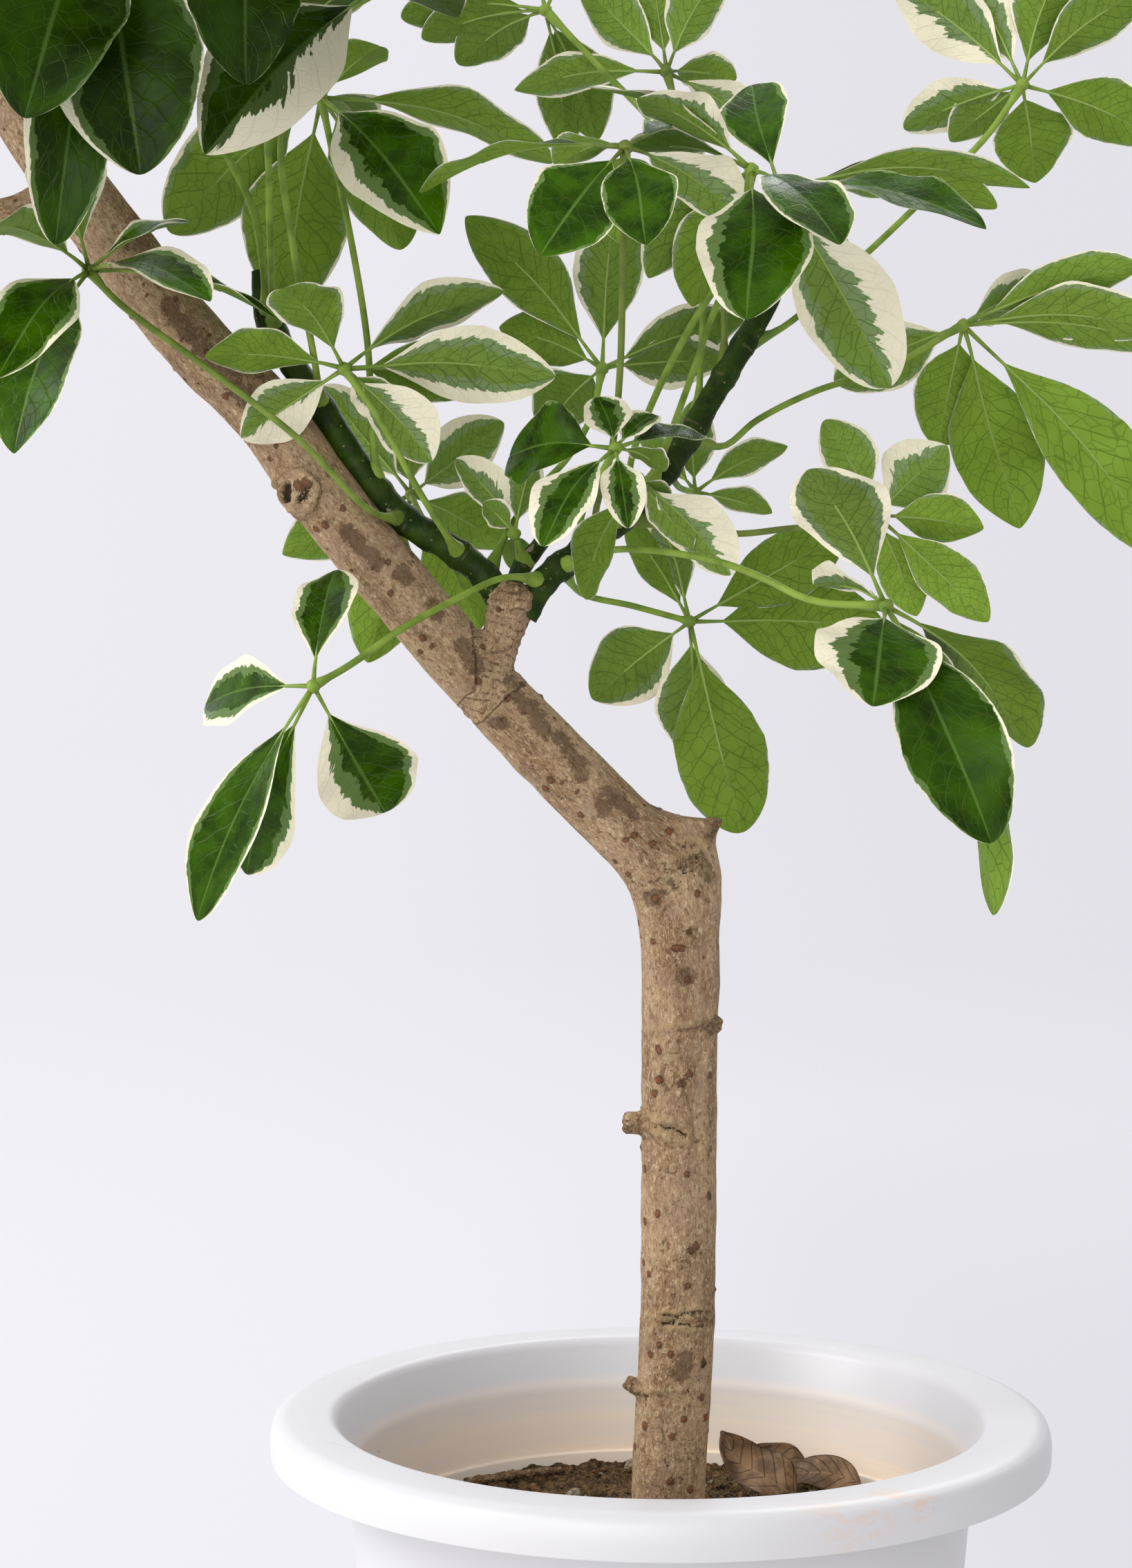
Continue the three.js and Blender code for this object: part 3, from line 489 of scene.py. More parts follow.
def build_leaf(leaf, settings):
    """A petiole with its leaflets round a small knob, held as the plain leaf holds them."""
    dice = random.Random(leaf["name"])
    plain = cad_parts[leaf["name"]].data
    corners = lookup([vertex.co / MM for vertex in plain.vertices])
    bm = bmesh.new()
    tone = bm.verts.layers.float_color.new("tone")
    bm.loops.layers.uv.new("blade")
    # Each leaf gets a random tone; the leaves marked for painted shade are also darkened all over, as
    # painted shade.
    shade = dice.random() - (1.3 if leaf["in_painted_shade"] else 0)
    for leaflet in leaf["leaflets"]:
        tip, roll = plain_pose(leaf, leaflet, corners)
        add_leaflet(bm, leaf["hub"], tip, leaflet, roll, dice, shade, settings)
    for edge in bm.edges:
        if {face.material_index for face in edge.link_faces} == {0, 1}:
            edge.smooth = False  # the margin stays crisp between the two skins
    points, radii = petiole_rows(leaf)
    plain_green = (0, 0, 0.5, shade)
    for vert in tube(bm, points, radii, sides=10, material=2):
        vert[tone] = plain_green
    knob = bmesh.ops.create_icosphere(bm, subdivisions=2, radius=2.7)["verts"]
    bmesh.ops.translate(bm, verts=knob, vec=leaf["hub"])
    for vert in knob:
        vert.co += vert.normal * 0.5 * noise.noise(vert.co * 0.9)
        vert[tone] = plain_green
        for face in vert.link_faces:
            face.material_index = 2
            face.smooth = True
    return bm


# The plan's leaves. A hub is (x, z, depth), a base and a petiole's spots are (x, z), and bow is the
# depth by which the petiole bends. axis is the way that the leaf's upper side faces, and reach how far
# its leaflets go. A leaflet is the spot of its tip (x, z), the side that shows, its width and, where
# it is shorter or longer, its own reach. cream is each leaflet's share of it, in tenths, with the
# side that has more: left, right, top or bottom.
LEAVES = [
    dict(
        name="leaf_left_1", stem="stem_left", hub=(-221, 690, -52), axis=(-0.2, -0.1, 1),
        reach=86, base=(-103, 590), bow=-22, cream="3 5 5 4 2 4 4",
        petiole=[(-112, 597), (-140, 625), (-175, 652), (-210, 678)],
        leaflets=[
            (-148, 671, "L", 24), (-174, 678, "U", 24), (-182, 709, "U", 24, 60), (-257, 648, "UU", 28),
            (-250, 619, "U", 34), (-262, 706, "L", 28), (-232, 742, "L", 26, 70),
        ],
    ),
    dict(
        name="leaf_left_2", stem="stem_left", hub=(-131, 757, -30), axis=(0, 0.2, 1),
        reach=90, base=(-109, 604), bow=-6, cream="5l 3 8l 2 2 5 2 3 3",
        petiole=[(-111, 625), (-113, 662), (-119, 700), (-127, 738)],
        leaflets=[
            (-85, 704, "UU", 38), (-41, 732, "L", 27), (-90, 714, "L", 30, 80),
            (-108, 777, "L", 18, 45), (-100, 698, "L", 32, 82), (-113, 742, "L", 22, 62),
            (-145, 675, "LL", 40, 86), (-190, 705, "LL", 38, 84), (-172, 765, "U", 30, 70),
        ],
    ),
    dict(
        name="leaf_left_3", stem="stem_left", hub=(-122, 652, -45), axis=(0, 0.5, 0.85),
        reach=66, base=(-79, 576), bow=-14, cream="2 9b 3 6 7r 2 7 6b",
        petiole=[(-84, 590), (-95, 608), (-107, 630)],
        leaflets=[
            (-176, 657, "L", 20, 60), (-162, 625, "L", 22, 56), (-146, 683, "L", 24, 58),
            (-60, 682, "L", 24, 72), (-88, 616, "L", 26, 60), (-65, 646, "LL", 26, 62),
            (-40, 649, "LL", 30, 80), (-104, 631, "L", 18, 42),
        ],
    ),
    dict(
        name="leaf_left_4", stem="stem_left", hub=(-22, 652, 5), axis=(0, 0.8, 0.6),
        reach=72, base=(-66, 572), bow=6, cream="2 4t 2 5 6 3",
        petiole=[(-58, 590), (-48, 604), (-35, 618), (-26, 634)],
        leaflets=[
            (-75, 711, "L", 26, 80), (-17, 720, "L", 26, 72), (-62, 668, "L", 22, 52),
            (33, 671, "L", 24, 64), (28, 655, "L", 24, 58), (-45, 628, "L", 27, 46),
        ],
    ),
    dict(
        name="leaf_left_5", stem="stem_left", hub=(-96, 603, 30), axis=(0, 0.9, 0.4),
        reach=60, base=(-90, 587), bow=8, cream="8 5 3 6 2 2 3",
        petiole=[(-92, 594)],
        leaflets=[
            (-131, 645, "L", 24), (-101, 640, "L", 22, 48), (-58, 582, "L", 22), (-60, 631, "L", 26),
            (-69, 551, "LL", 27), (-113, 538, "L", 28, 68), (-146, 580, "L", 26),
        ],
    ),
    dict(
        name="leaf_middle_1", stem="stem_middle", hub=(-56, 588, -14), axis=(0, 0.7, 0.7),
        reach=42, base=(-52, 577), bow=-3, cream="7r 3 6 4",
        petiole=[(-54, 583)],
        leaflets=[
            (-79, 617, "L", 18), (-55, 573, "L", 13, 26), (-48, 620, "L", 16, 38),
            (-68, 600, "L", 12, 26),
        ],
    ),
    dict(
        name="leaf_right_1", stem="stem_right", hub=(-134, 529, -70), axis=(-0.4, -0.75, 0.5),
        reach=96, base=(-46, 572), bow=-10, cream="5 6 3 5 6l",
        petiole=[(-60, 571), (-80, 562), (-100, 551), (-120, 537)],
        leaflets=[
            (-125, 574, "U", 26, 60), (-176, 521, "U", 28, 62), (-179, 438, "U", 26, 96),
            (-160, 456, "UU", 32, 86), (-106, 480, "UU", 38, 66),
        ],
    ),
    dict(
        name="leaf_right_2", stem="stem_right", hub=(88, 560, -120), axis=(0.3, 0, 1),
        reach=92, base=(-38, 575), bow=-20, cream="5l 2 2 2 2 8 5",
        petiole=[(-15, 582), (20, 578), (40, 571), (60, 562)],
        leaflets=[
            (83, 521, "UU", 40, 50), (129, 468, "UU", 34, 94), (143, 505, "L", 34, 86),
            (130, 440, "L", 32, 106), (102, 515, "L", 24, 62), (60, 568, "L", 24, 40),
            (58, 613, "LL", 30, 62),
        ],
    ),
    dict(
        name="leaf_right_3", stem="stem_right", hub=(12, 554, 32), axis=(0.15, 0.95, 0.2),
        reach=82, base=(-38, 575), bow=4, cream="4b 5r 1 1 1 6l 2",
        petiole=[(-30, 565), (-10, 560)],
        leaflets=[
            (-26, 524, "LL", 30, 54), (14, 500, "LL", 31, 58), (32, 472, "LL", 38, 87),
            (88, 552, "LL", 37), (74, 590, "LL", 27, 76), (-3, 603, "L", 20, 54),
            (-12, 592, "L", 16, 48),
        ],
    ),
    dict(
        name="leaf_right_4", stem="stem_right", hub=(-17, 621, -84), axis=(0, -0.2, 1),
        reach=52, base=(-30, 583), bow=-14, cream="1 3 3 6 7 7 7",
        petiole=[(-30, 595), (-24, 608)],
        leaflets=[
            (-58, 618, "UU", 32), (22, 623, "U", 20, 44), (2, 612, "L", 14, 30), (-45, 583, "U", 24),
            (-12, 590, "U", 16, 40), (-24, 641, "U", 20, 50), (-1, 634, "U", 18, 40),
        ],
    ),
    dict(
        name="leaf_right_5", stem="stem_right", hub=(-8, 609, -50), axis=(0, 0.6, 0.8),
        reach=54, base=(-18, 592), bow=-6, cream="2 8t 4 4",
        petiole=[(-13, 600)],
        leaflets=[
            (-29, 563, "L", 20), (28, 572, "L", 24, 56), (13, 582, "L", 15, 40), (3, 598, "L", 12, 24),
        ],
    ),
    dict(
        name="leaf_right_6", stem="stem_right", hub=(-13, 738, -112), axis=(0, 0, 1),
        reach=78, base=(-26, 585), bow=-12, cream="2 2 2 3 7t 2 3",
        petiole=[(-24, 599), (-18, 622), (-15, 652), (-14, 692)],
        leaflets=[
            (-92, 720, "U", 26, 80), (-46, 696, "UU", 30, 56), (-5, 700, "UU", 27, 50),
            (-40, 730, "L", 20, 48), (33, 708, "L", 30, 62), (-14, 700, "L", 30, 72),
            (22, 742, "U", 24, 60),
        ],
    ),
    dict(
        name="leaf_right_7", stem="stem_right", hub=(36, 729, -92), axis=(0, 0, 1),
        reach=78, base=(-10, 599), bow=-14, cream="5t 5 6 4 2 4l 3",
        petiole=[(-11, 615), (-2, 640), (12, 668), (30, 698)],
        leaflets=[
            (-8, 757, "L", 22, 56), (-12, 737, "L", 22, 54), (-27, 761, "U", 22, 72),
            (-4, 687, "L", 26, 66), (13, 676, "L", 26, 68), (34, 671, "UU", 40, 70),
            (70, 700, "U", 30, 66),
        ],
    ),
    dict(
        name="leaf_right_8", stem="stem_right", hub=(84, 595, 0), axis=(0.2, 0.8, 0.5),
        reach=54, base=(-14, 595), bow=-14, cream="6l 2 2 2 4 2",
        petiole=[(6, 590), (30, 588), (50, 590), (70, 592)],
        leaflets=[
            (112, 622, "LL", 29, 44), (81, 574, "L", 16, 28), (128, 554, "L", 22, 60),
            (100, 556, "L", 20, 46), (64, 632, "L", 22, 44), (126, 590, "L", 20, 44),
        ],
    ),
    dict(
        name="leaf_right_9", stem="stem_right", hub=(47, 721, -60), axis=(-0.3, 0, 1),
        reach=90, base=(-4, 605), bow=-10, cream="2 3 3 1 8r 3 3",
        petiole=[(5, 628), (13, 650), (24, 680)],
        leaflets=[
            (131, 714, "L", 30, 92), (144, 722, "L", 22, 98), (110, 716, "L", 24, 72),
            (127, 706, "U", 26, 88), (90, 645, "LL", 38, 88), (70, 672, "L", 24, 60),
            (36, 762, "U", 26, 66),
        ],
    ),
    dict(
        name="leaf_right_10", stem="stem_right", hub=(118, 669, 20), axis=(0.3, 0.6, 0.7),
        reach=76, base=(12, 624), bow=8, cream="5l 2 5t 3 3 3 1 1",
        petiole=[(25, 622), (38, 632), (60, 643), (90, 653)],
        leaflets=[
            (68, 647, "LL", 28, 60), (108, 622, "LL", 30, 56), (152, 681, "L", 26, 50),
            (194, 668, "L", 26, 78), (202, 660, "L", 24, 88), (186, 692, "L", 22, 72),
            (197, 580, "LL", 36, 118), (140, 590, "LL", 39, 88),
        ],
    ),
    dict(
        name="leaf_right_11", stem="stem_right", hub=(-44, 791, 30), axis=(0, 0.5, 0.85),
        reach=66, base=(15, 631), bow=6, cream="3 3 3 3 3 3 3",
        petiole=[(16, 650), (17, 682), (14, 715), (0, 744), (-22, 768)],
        leaflets=[
            (-24, 740, "L", 27), (-78, 770, "L", 24, 52), (-92, 780, "L", 24, 58),
            (-100, 788, "L", 22, 64), (-36, 736, "L", 22, 68), (-62, 842, "L", 26, 62),
            (-14, 826, "L", 26, 58),
        ],
    ),
    dict(
        name="leaf_right_12", stem="stem_right", hub=(3, 767, 32), axis=(0, 0.6, 0.8),
        reach=56, base=(26, 650), bow=10, cream="4 4 9 4 4 4 4",
        petiole=[(24, 690), (16, 725), (8, 750)],
        leaflets=[
            (-4, 820, "L", 24, 60), (26, 810, "L", 24, 54), (43, 739, "L", 22, 54),
            (30, 764, "L", 18, 40), (-32, 802, "L", 24, 54), (-56, 760, "L", 18, 62),
            (10, 722, "L", 24, 56),
        ],
    ),
    dict(
        name="leaf_right_13", stem="stem_right", hub=(141, 762, 22), axis=(0, 0.7, 0.7),
        reach=62, base=(33, 661), bow=4, cream="8l 8 3 3 2 2 7 4",
        petiole=[(48, 668), (82, 698), (107, 722), (127, 742)],
        leaflets=[
            (90, 803, "L", 28, 70), (116, 812, "L", 22, 60), (160, 816, "L", 24, 60),
            (194, 803, "L", 26, 70), (194, 741, "L", 26, 60), (146, 724, "LL", 32, 46),
            (95, 745, "L", 22, 54), (113, 740, "L", 22, 42),
        ],
    ),
    dict(
        name="leaf_right_14", stem="stem_right", hub=(14, 604, 34), axis=(0, 0.5, 0.8),
        reach=40, base=(4, 613), bow=6, cream="4 4 4 4",
        petiole=[(8, 606)],
        leaflets=[
            (50, 622, "L", 18, 40), (14, 640, "L", 18, 42), (44, 596, "L", 14, 34),
            (-8, 626, "L", 14, 36),
        ],
    ),
    # The three top leaves carry painted shade: their whole colour is darkened.
    dict(
        name="leaf_top_1", in_painted_shade=True, stem="stem_left", hub=(-214, 836, -128), axis=(-0.1, -0.1, 1),
        reach=104, base=(-152, 672), bow=-18, cream="1 3b 3l 3 3 3 3",
        petiole=[(-157, 712), (-169, 738), (-192, 790)],
        leaflets=[
            (-246, 749, "UU", 46), (-201, 727, "UU", 48, 106), (-234, 700, "UU", 32, 124),
            (-300, 800, "U", 40), (-270, 880, "L", 38), (-190, 890, "L", 38, 90), (-262, 790, "L", 36),
        ],
    ),
    dict(
        name="leaf_top_2", in_painted_shade=True, stem="stem_left", hub=(-166, 846, -156), axis=(0.1, 0, 1),
        reach=96, base=(-150, 666), bow=-20, cream="1 3 3 3 3 3",
        petiole=[(-151, 710), (-152, 745), (-157, 800)],
        leaflets=[
            (-160, 762, "UU", 36), (-120, 812, "U", 34, 84), (-104, 874, "L", 36),
            (-170, 920, "L", 36, 88), (-228, 880, "L", 34), (-190, 790, "L", 30, 88),
        ],
    ),
    dict(
        name="leaf_top_3", in_painted_shade=True, stem="stem_left", hub=(-108, 800, -104), axis=(0, 0, 1),
        reach=88, base=(-131, 637), bow=-14, cream="8b 3 3 3 3 3",
        petiole=[(-134, 658), (-142, 700), (-146, 745), (-130, 782)],
        leaflets=[
            (-176, 735, "UU", 40, 98), (-78, 788, "L", 28, 70), (-127, 840, "L", 32, 84),
            (-66, 850, "L", 32), (-92, 806, "L", 26, 62), (-140, 782, "L", 26, 72),
        ],
    ),
]


# Finishes
def rgb(red, green, blue):
    """A colour as seen on a screen, 0 to 255, in the linear values that shaders take."""
    def linear(value):
        share = value / 255
        return share / 12.92 if share <= 0.04045 else ((share + 0.055) / 1.055) ** 2.4

    return (linear(red), linear(green), linear(blue), 1.0)


class Wiring:
    """Short calls for the nodes that the plant's finishes and light need."""

    def __init__(self, tree):
        self.nodes = tree.nodes
        self.links = tree.links

    def feed(self, socket, value):
        if isinstance(value, bpy.types.NodeSocket):
            self.links.new(value, socket)
        elif value is not None:
            socket.default_value = value

    def node(self, kind, inputs=(), **settings):
        node = self.nodes.new(kind)
        for key, value in settings.items():
            setattr(node, key, value)
        for key, value in dict(inputs).items():
            self.feed(node.inputs[key], value)
        return node

    def maths(self, operation, *values):
        return self.node("ShaderNodeMath", dict(enumerate(values)), operation=operation).outputs[0]

    def times(self, first, second, plus=None):
        """A product, and something added to it."""
        return self.maths("MULTIPLY" if plus is None else "MULTIPLY_ADD", first, second, plus)

    def sway(self, value, pattern, amount):
        """A value that goes up and down with a pattern whose middle is 0.5."""
        return self.times(self.maths("SUBTRACT", pattern, 0.5), amount, value)

    def vector(self, operation, first, second=None, output="Vector"):
        inputs = {0: first, 1: second}
        return self.node("ShaderNodeVectorMath", inputs, operation=operation).outputs[output]


class Finish(Wiring):
    """A material under construction."""

    def __init__(self, name):
        self.material = bpy.data.materials.new(name)
        self.material.use_nodes = True
        super().__init__(self.material.node_tree)
        self.surface = self.nodes["Principled BSDF"]

    def place(self):
        return self.node("ShaderNodeTexCoord").outputs["Object"]

    def attribute(self, name):
        return self.node("ShaderNodeAttribute", attribute_name=name).outputs

    def painted(self, name):
        """The four values of a colour attribute."""
        outputs = self.attribute(name)
        colour = self.node("ShaderNodeSeparateColor", {0: outputs["Color"]})
        return [*colour.outputs, outputs["Alpha"]]

    def split(self, vector):
        return self.node("ShaderNodeSeparateXYZ", {0: vector}).outputs

    def joined(self, x, y, z):
        return self.node("ShaderNodeCombineXYZ", {"X": x, "Y": y, "Z": z}).outputs[0]

    def blade_place(self):
        """Where a spot is on a blade: across it, from -1 to 1, and along it."""
        u, v, _ = self.split(self.node("ShaderNodeUVMap", uv_map="blade").outputs[0])
        return self.times(u, 2.0, -1.0), v

    def stretched(self, vector, *scale):
        return self.node("ShaderNodeMapping", {"Vector": vector, "Scale": scale}).outputs["Vector"]

    def ease(self, value, low, high, start=0.0, end=1.0):
        """Runs smoothly from start to end while the value goes from low to high."""
        inputs = {"Value": value, "From Min": low, "From Max": high, "To Min": start, "To Max": end}
        node = self.node("ShaderNodeMapRange", inputs, interpolation_type="SMOOTHSTEP")
        return node.outputs["Result"]

    def blend(self, factor, first, second, mode="MIX"):
        inputs = {0: factor, 6: first, 7: second}
        return self.node("ShaderNodeMix", inputs, data_type="RGBA", blend_type=mode).outputs[2]

    def layered(self, colour, *layers):
        """Lays colours on top. Each has a value, where it sets in and is full, its share and itself."""
        for value, low, high, share, top in layers:
            colour = self.blend(self.ease(value, low, high, 0.0, share), colour, top)
        return colour

    def clouds(self, vector, scale, detail=3.0, rough=0.5, warp=0.0):
        inputs = {
            "Vector": vector, "Scale": scale,
            "Detail": detail, "Roughness": rough, "Distortion": warp,
        }
        return self.node("ShaderNodeTexNoise", inputs).outputs[0]

    def cells(self, vector, scale, feature="F1"):
        inputs = {"Vector": vector, "Scale": scale}
        return self.node("ShaderNodeTexVoronoi", inputs, feature=feature).outputs["Distance"]

    def stripes(self, value, reach):
        """A stripe wherever a value is half past a whole number, gone at a reach beside it."""
        off = self.maths("ABSOLUTE", self.maths("SUBTRACT", self.maths("FRACT", value), 0.5))
        return self.ease(off, 0.0, reach, 1.0, 0.0)

    def relief(self, height, strength, distance):
        inputs = {"Height": height, "Strength": strength, "Distance": distance}
        return self.node("ShaderNodeBump", inputs).outputs["Normal"]

    def coat(self, colour, roughness, normal=None, specular=0.5):
        """Sets the surface: colour and roughness may be sockets, the rest is the same all over."""
        self.feed(self.surface.inputs["Base Color"], colour)
        self.feed(self.surface.inputs["Roughness"], roughness)
        self.feed(self.surface.inputs["Normal"], normal)
        self.surface.inputs["Specular IOR Level"].default_value = specular
        return self.material

    def let_light_through(self, colour, share):
        """Lets a share of the light pass, as a leaf held against the light does."""
        glow = self.node("ShaderNodeBsdfTranslucent", {"Color": colour})
        inputs = {0: share, 1: self.surface.outputs[0], 2: glow.outputs[0]}
        both = self.node("ShaderNodeMixShader", inputs)
        self.links.new(both.outputs[0], self.nodes["Material Output"].inputs["Surface"])
        return self.material


def blade_finish(name, deep, fresh, patch, cream, underside):
    """A variegated blade: green with veins, grey-green patches and a cream margin."""
    f = Finish(name)
    u, v = f.blade_place()
    out = f.maths("ABSOLUTE", u)
    side = f.maths("SIGN", u)
    seed, amount, bias, shade = f.painted("tone")
    start = f.times(seed, 60.0)

    # Side veins leave the midrib and sweep up to the margin.
    flat = f.joined(f.times(u, 0.24), v, start)
    lean = f.times(f.clouds(flat, 5.0, 2.0), 0.09, f.times(out, -0.26, v))
    veins = f.stripes(f.times(side, 0.25, f.times(lean, 8.0)), 0.06)
    veins = f.times(veins, f.ease(out, 0.72, 1.0, 1.0, 0.15))
    net = f.ease(f.cells(flat, 13.0, "DISTANCE_TO_EDGE"), 0.0, 0.05, 1.0, 0.0)
    rib = f.ease(out, 0.012, 0.05, 1.0, 0.0)

    # Cream grows from the margin in fingers along the veins; one side may have more.
    turned = f.times(f.times(bias, 2.0, -1.0), side)
    share = f.times(amount, f.times(turned, 0.34, 0.92))
    depth = f.times(f.maths("POWER", f.maths("MAXIMUM", share, 0.02), 1.7), 0.74)
    wild = f.times(depth, 0.75, 0.045)
    strips = f.joined(f.times(lean, 15.0), f.times(u, 1.6), start)
    strides = f.joined(f.times(v, 3.2), f.times(side, 4.0), start)
    edge = f.sway(out, f.clouds(strips, 1.0, 3.0, 0.65), f.times(wild, 1.7))
    edge = f.sway(edge, f.clouds(strides, 1.0, 1.0), f.times(wild, 1.5))
    edge = f.maths("ADD", edge, f.maths("SUBTRACT", depth, 0.01))
    pale = f.ease(edge, 0.985, 1.015)
    band = f.times(share, -0.42, 0.985)
    blotch = f.sway(edge, f.clouds(flat, 9.0, 3.0, 0.6), 0.42)
    middle = f.times(f.ease(blotch, band, f.maths("ADD", band, 0.02)), 0.85)

    green = f.blend(f.ease(f.clouds(flat, 4.0, 3.0, 0.6), 0.3, 0.7), deep, fresh)
    if underside:
        green = f.layered(green, (amount, 0.1, 0.55, 0.35, rgb(140, 166, 100)))
        lines, line_share, rib_share = rgb(66, 100, 26), 0.72, 0.5
        rib_colour = rgb(164, 190, 96)
    else:
        lines, line_share, rib_share = rgb(110, 140, 60), 0.22, 0.6
        rib_colour = rgb(105, 140, 60)
    green = f.blend(middle, green, patch)
    green = f.blend(pale, green, cream)
    lined = f.maths("MAXIMUM", f.times(veins, 0.8), f.times(net, 0.6))
    lined = f.times(lined, f.times(pale, -0.92, 1.0))
    green = f.blend(f.times(lined, line_share), green, lines)
    green = f.blend(f.times(rib, rib_share), green, rib_colour)
    # Each leaf's random tone, and the painted shade of the darkened leaves, multiplies the colour, less
    # on the cream.
    bright = f.times(shade, 0.36, 0.82)
    tone_and_painted_shade_share = f.times(pale, -0.75, 1.0)
    green = f.blend(tone_and_painted_shade_share, green, f.joined(bright, bright, bright), "MULTIPLY")

    # Veins are sunk on top and stand out below.
    grain = f.clouds(flat, 60.0, 2.0)
    height = f.times(veins, 0.8 if underside else -1.0, f.times(grain, 0.18))
    height = f.times(net, 0.4 if underside else -0.35, height)
    height = f.times(f.clouds(flat, 12.0, 2.0), 0.9, height)
    roughness = f.times(grain, 0.12, 0.45 if underside else 0.2)
    f.coat(green, roughness, f.relief(height, 0.45, 0.0006), specular=0.12 if underside else 0.1)
    through = f.blend(pale, f.blend(0.5, green, rgb(160, 206, 40)), cream)
    return f.let_light_through(through, f.times(pale, -0.32, 0.46) if underside else 0.16)


def stalk_finish(name):
    """Petioles and stalks: satin yellow-green with pale flecks, browner on some leaves, and a paler rib
    that is partly painted light.
    """
    f = Finish(name)
    where = f.place()
    _, rib, _, shade = f.painted("tone")
    mottle = f.clouds(where, 90.0, 3.0)
    colour = f.blend(f.ease(mottle, 0.35, 0.7), rgb(152, 180, 70), rgb(112, 142, 50))
    colour = f.layered(colour, (shade, 0.5, 1.0, 0.45, rgb(96, 92, 52)))
    flecks = f.ease(f.cells(where, 900.0), 0.0, 0.18, 0.35, 0.0)
    colour = f.blend(flecks, colour, rgb(186, 190, 140))
    # The rib is paler: partly its own colour, partly painted light for the glow that the opaque rib
    # lacks beside the translucent blade.
    colour = f.blend(rib, colour, rgb(160, 188, 92))
    f.coat(colour, 0.42, f.relief(f.clouds(where, 700.0, 2.0), 0.3, 0.0003), specular=0.3)
    return f.let_light_through(colour, 0.3)


# Trunk
TRUNK_LINE = [
    (3.5, 112, 0, 12), (3.7, 214, 0, 14.4), (7.4, 286, 0, 14.6), (7.7, 339, 0, 14.6),
    (8.1, 393, 0, 15), (7.4, 434, 0, 15.1), (0, 458.5, -1, 14.6), (-24, 484.3, -4, 13.6),
    (-50, 510.3, -7, 13.4), (-66, 527, -9, 13), (-95, 560, -14, 13), (-128, 600, -20, 13.3),
    (-153, 635, -24, 13.2), (-178, 660, -28, 12.9), (-210, 700, -33, 12.8), (-239, 740, -38, 12.6),
]
TRUNK_TOP = [  # past the picture: real places, with the radius
    (-261, -40, 786, 12.2), (-281, -38, 835, 11.2), (-286, -32, 885, 9.8), (-279, -24, 930, 8.2),
    (-264, -16, 968, 5.5),
]


def seen_stem(spots, extra=()):
    """A stem through spots (x, z, depth, radius) of the plan, then through real places."""
    points = [seen(x, z, depth) for x, z, depth, _ in spots] + [Vector(p[:3]) for p in extra]
    return Stem(points, [spot[3] for spot in spots] + [p[3] for p in extra])


def plan_stems():
    return {
        "trunk": seen_stem(TRUNK_LINE, TRUNK_TOP),
        "stem_left": seen_stem([
            (-60, 558, -15, 5), (-68, 572, -15, 5.4), (-82, 583, -15, 5.4), (-98, 593, -16, 5.4),
            (-112, 608, -18, 5.4), (-124, 626, -20, 5.2), (-135, 643, -22, 5.1), (-146, 660, -24, 5),
            (-153, 676, -26, 4.4), (-156, 690, -27, 2),
        ]),
        "stem_right": seen_stem([
            (-52, 556, -15, 5), (-44, 570, -15, 5), (-28, 583, -13, 4.9), (-5, 603, -10, 4.8),
            (10, 623, -6, 4.8), (20, 640, -3, 4.7), (32, 660, 0, 4.6), (43, 680, 4, 4.4),
            (51, 704, 8, 4), (55, 726, 10, 2),
        ]),
        "stem_middle": seen_stem([
            (-57, 558, -8, 3.4), (-55, 572, -6, 3.4), (-46, 584, -2, 3.2), (-34, 602, 2, 2),
        ]),
    }


LIMBS = [  # cut top, spur that bears the shoots, knot, side branch, twig stubs and saddle
    [(7.6, 432, 0, 15.5), (8.6, 447, 0, 16), (9, 456, 0, 15.9), (9.4, 464, 0, 13.7),
     (10, 470, 0, 12), (10.6, 475, 0, 12.6), (11, 478.7, 0, 13.5)],
    [(-66, 526, -10, 6.5), (-61.5, 545, -13, 7.2), (-58.5, 556, -14, 8.6), (-57, 563, -15, 9.8),
     (-56.4, 567, -15, 8.2), (-56, 569, -15, 5)],
    [(-134, 600, -22, 9.5), (-142, 606, -36, 8)],
    [(-230, 724, -40, 7), (-250, 712, -46, 6.8), (-272, 712, -52, 6), (-290, 722, -56, 5)],
    [(2, 359.3, -4, 5.4), (-8, 359.6, -5, 4.7), (-13.4, 360, -6, 4.3)],
    [(2, 254, -4, 3.6), (-7, 256, -5, 3.3), (-12.4, 259.6, -6, 2.9)],
    [(10, 397.4, -3, 5.5), (19, 397.4, -6, 4.6), (23.6, 397.4, -6, 3.3)],
    [(9, 286.5, 0, 4.5), (21.5, 286.8, -2, 2.4)],
    [(-13, 473.5, -1, 11.2), (-3, 471, 0, 11.5), (10, 467, 0, 11)],
]
GRAINED = (0, 2, 4)  # the lines that the bark's grain follows
SPUR = 2
SADDLE = Vector((-2, 472))  # where the cut top meets the bough
SADDLE_REACH = 19
BARK_CELL = 1.15  # size of the cells that the trunk's skin is rebuilt from
LIMB_APART = 70.0  # length between the limbs' grain, so that no pattern repeats
BARE_FROM = 205  # height at which warts begin
SEEN_UP_TO = 480  # below it the viewer's side has only the marks that are seen

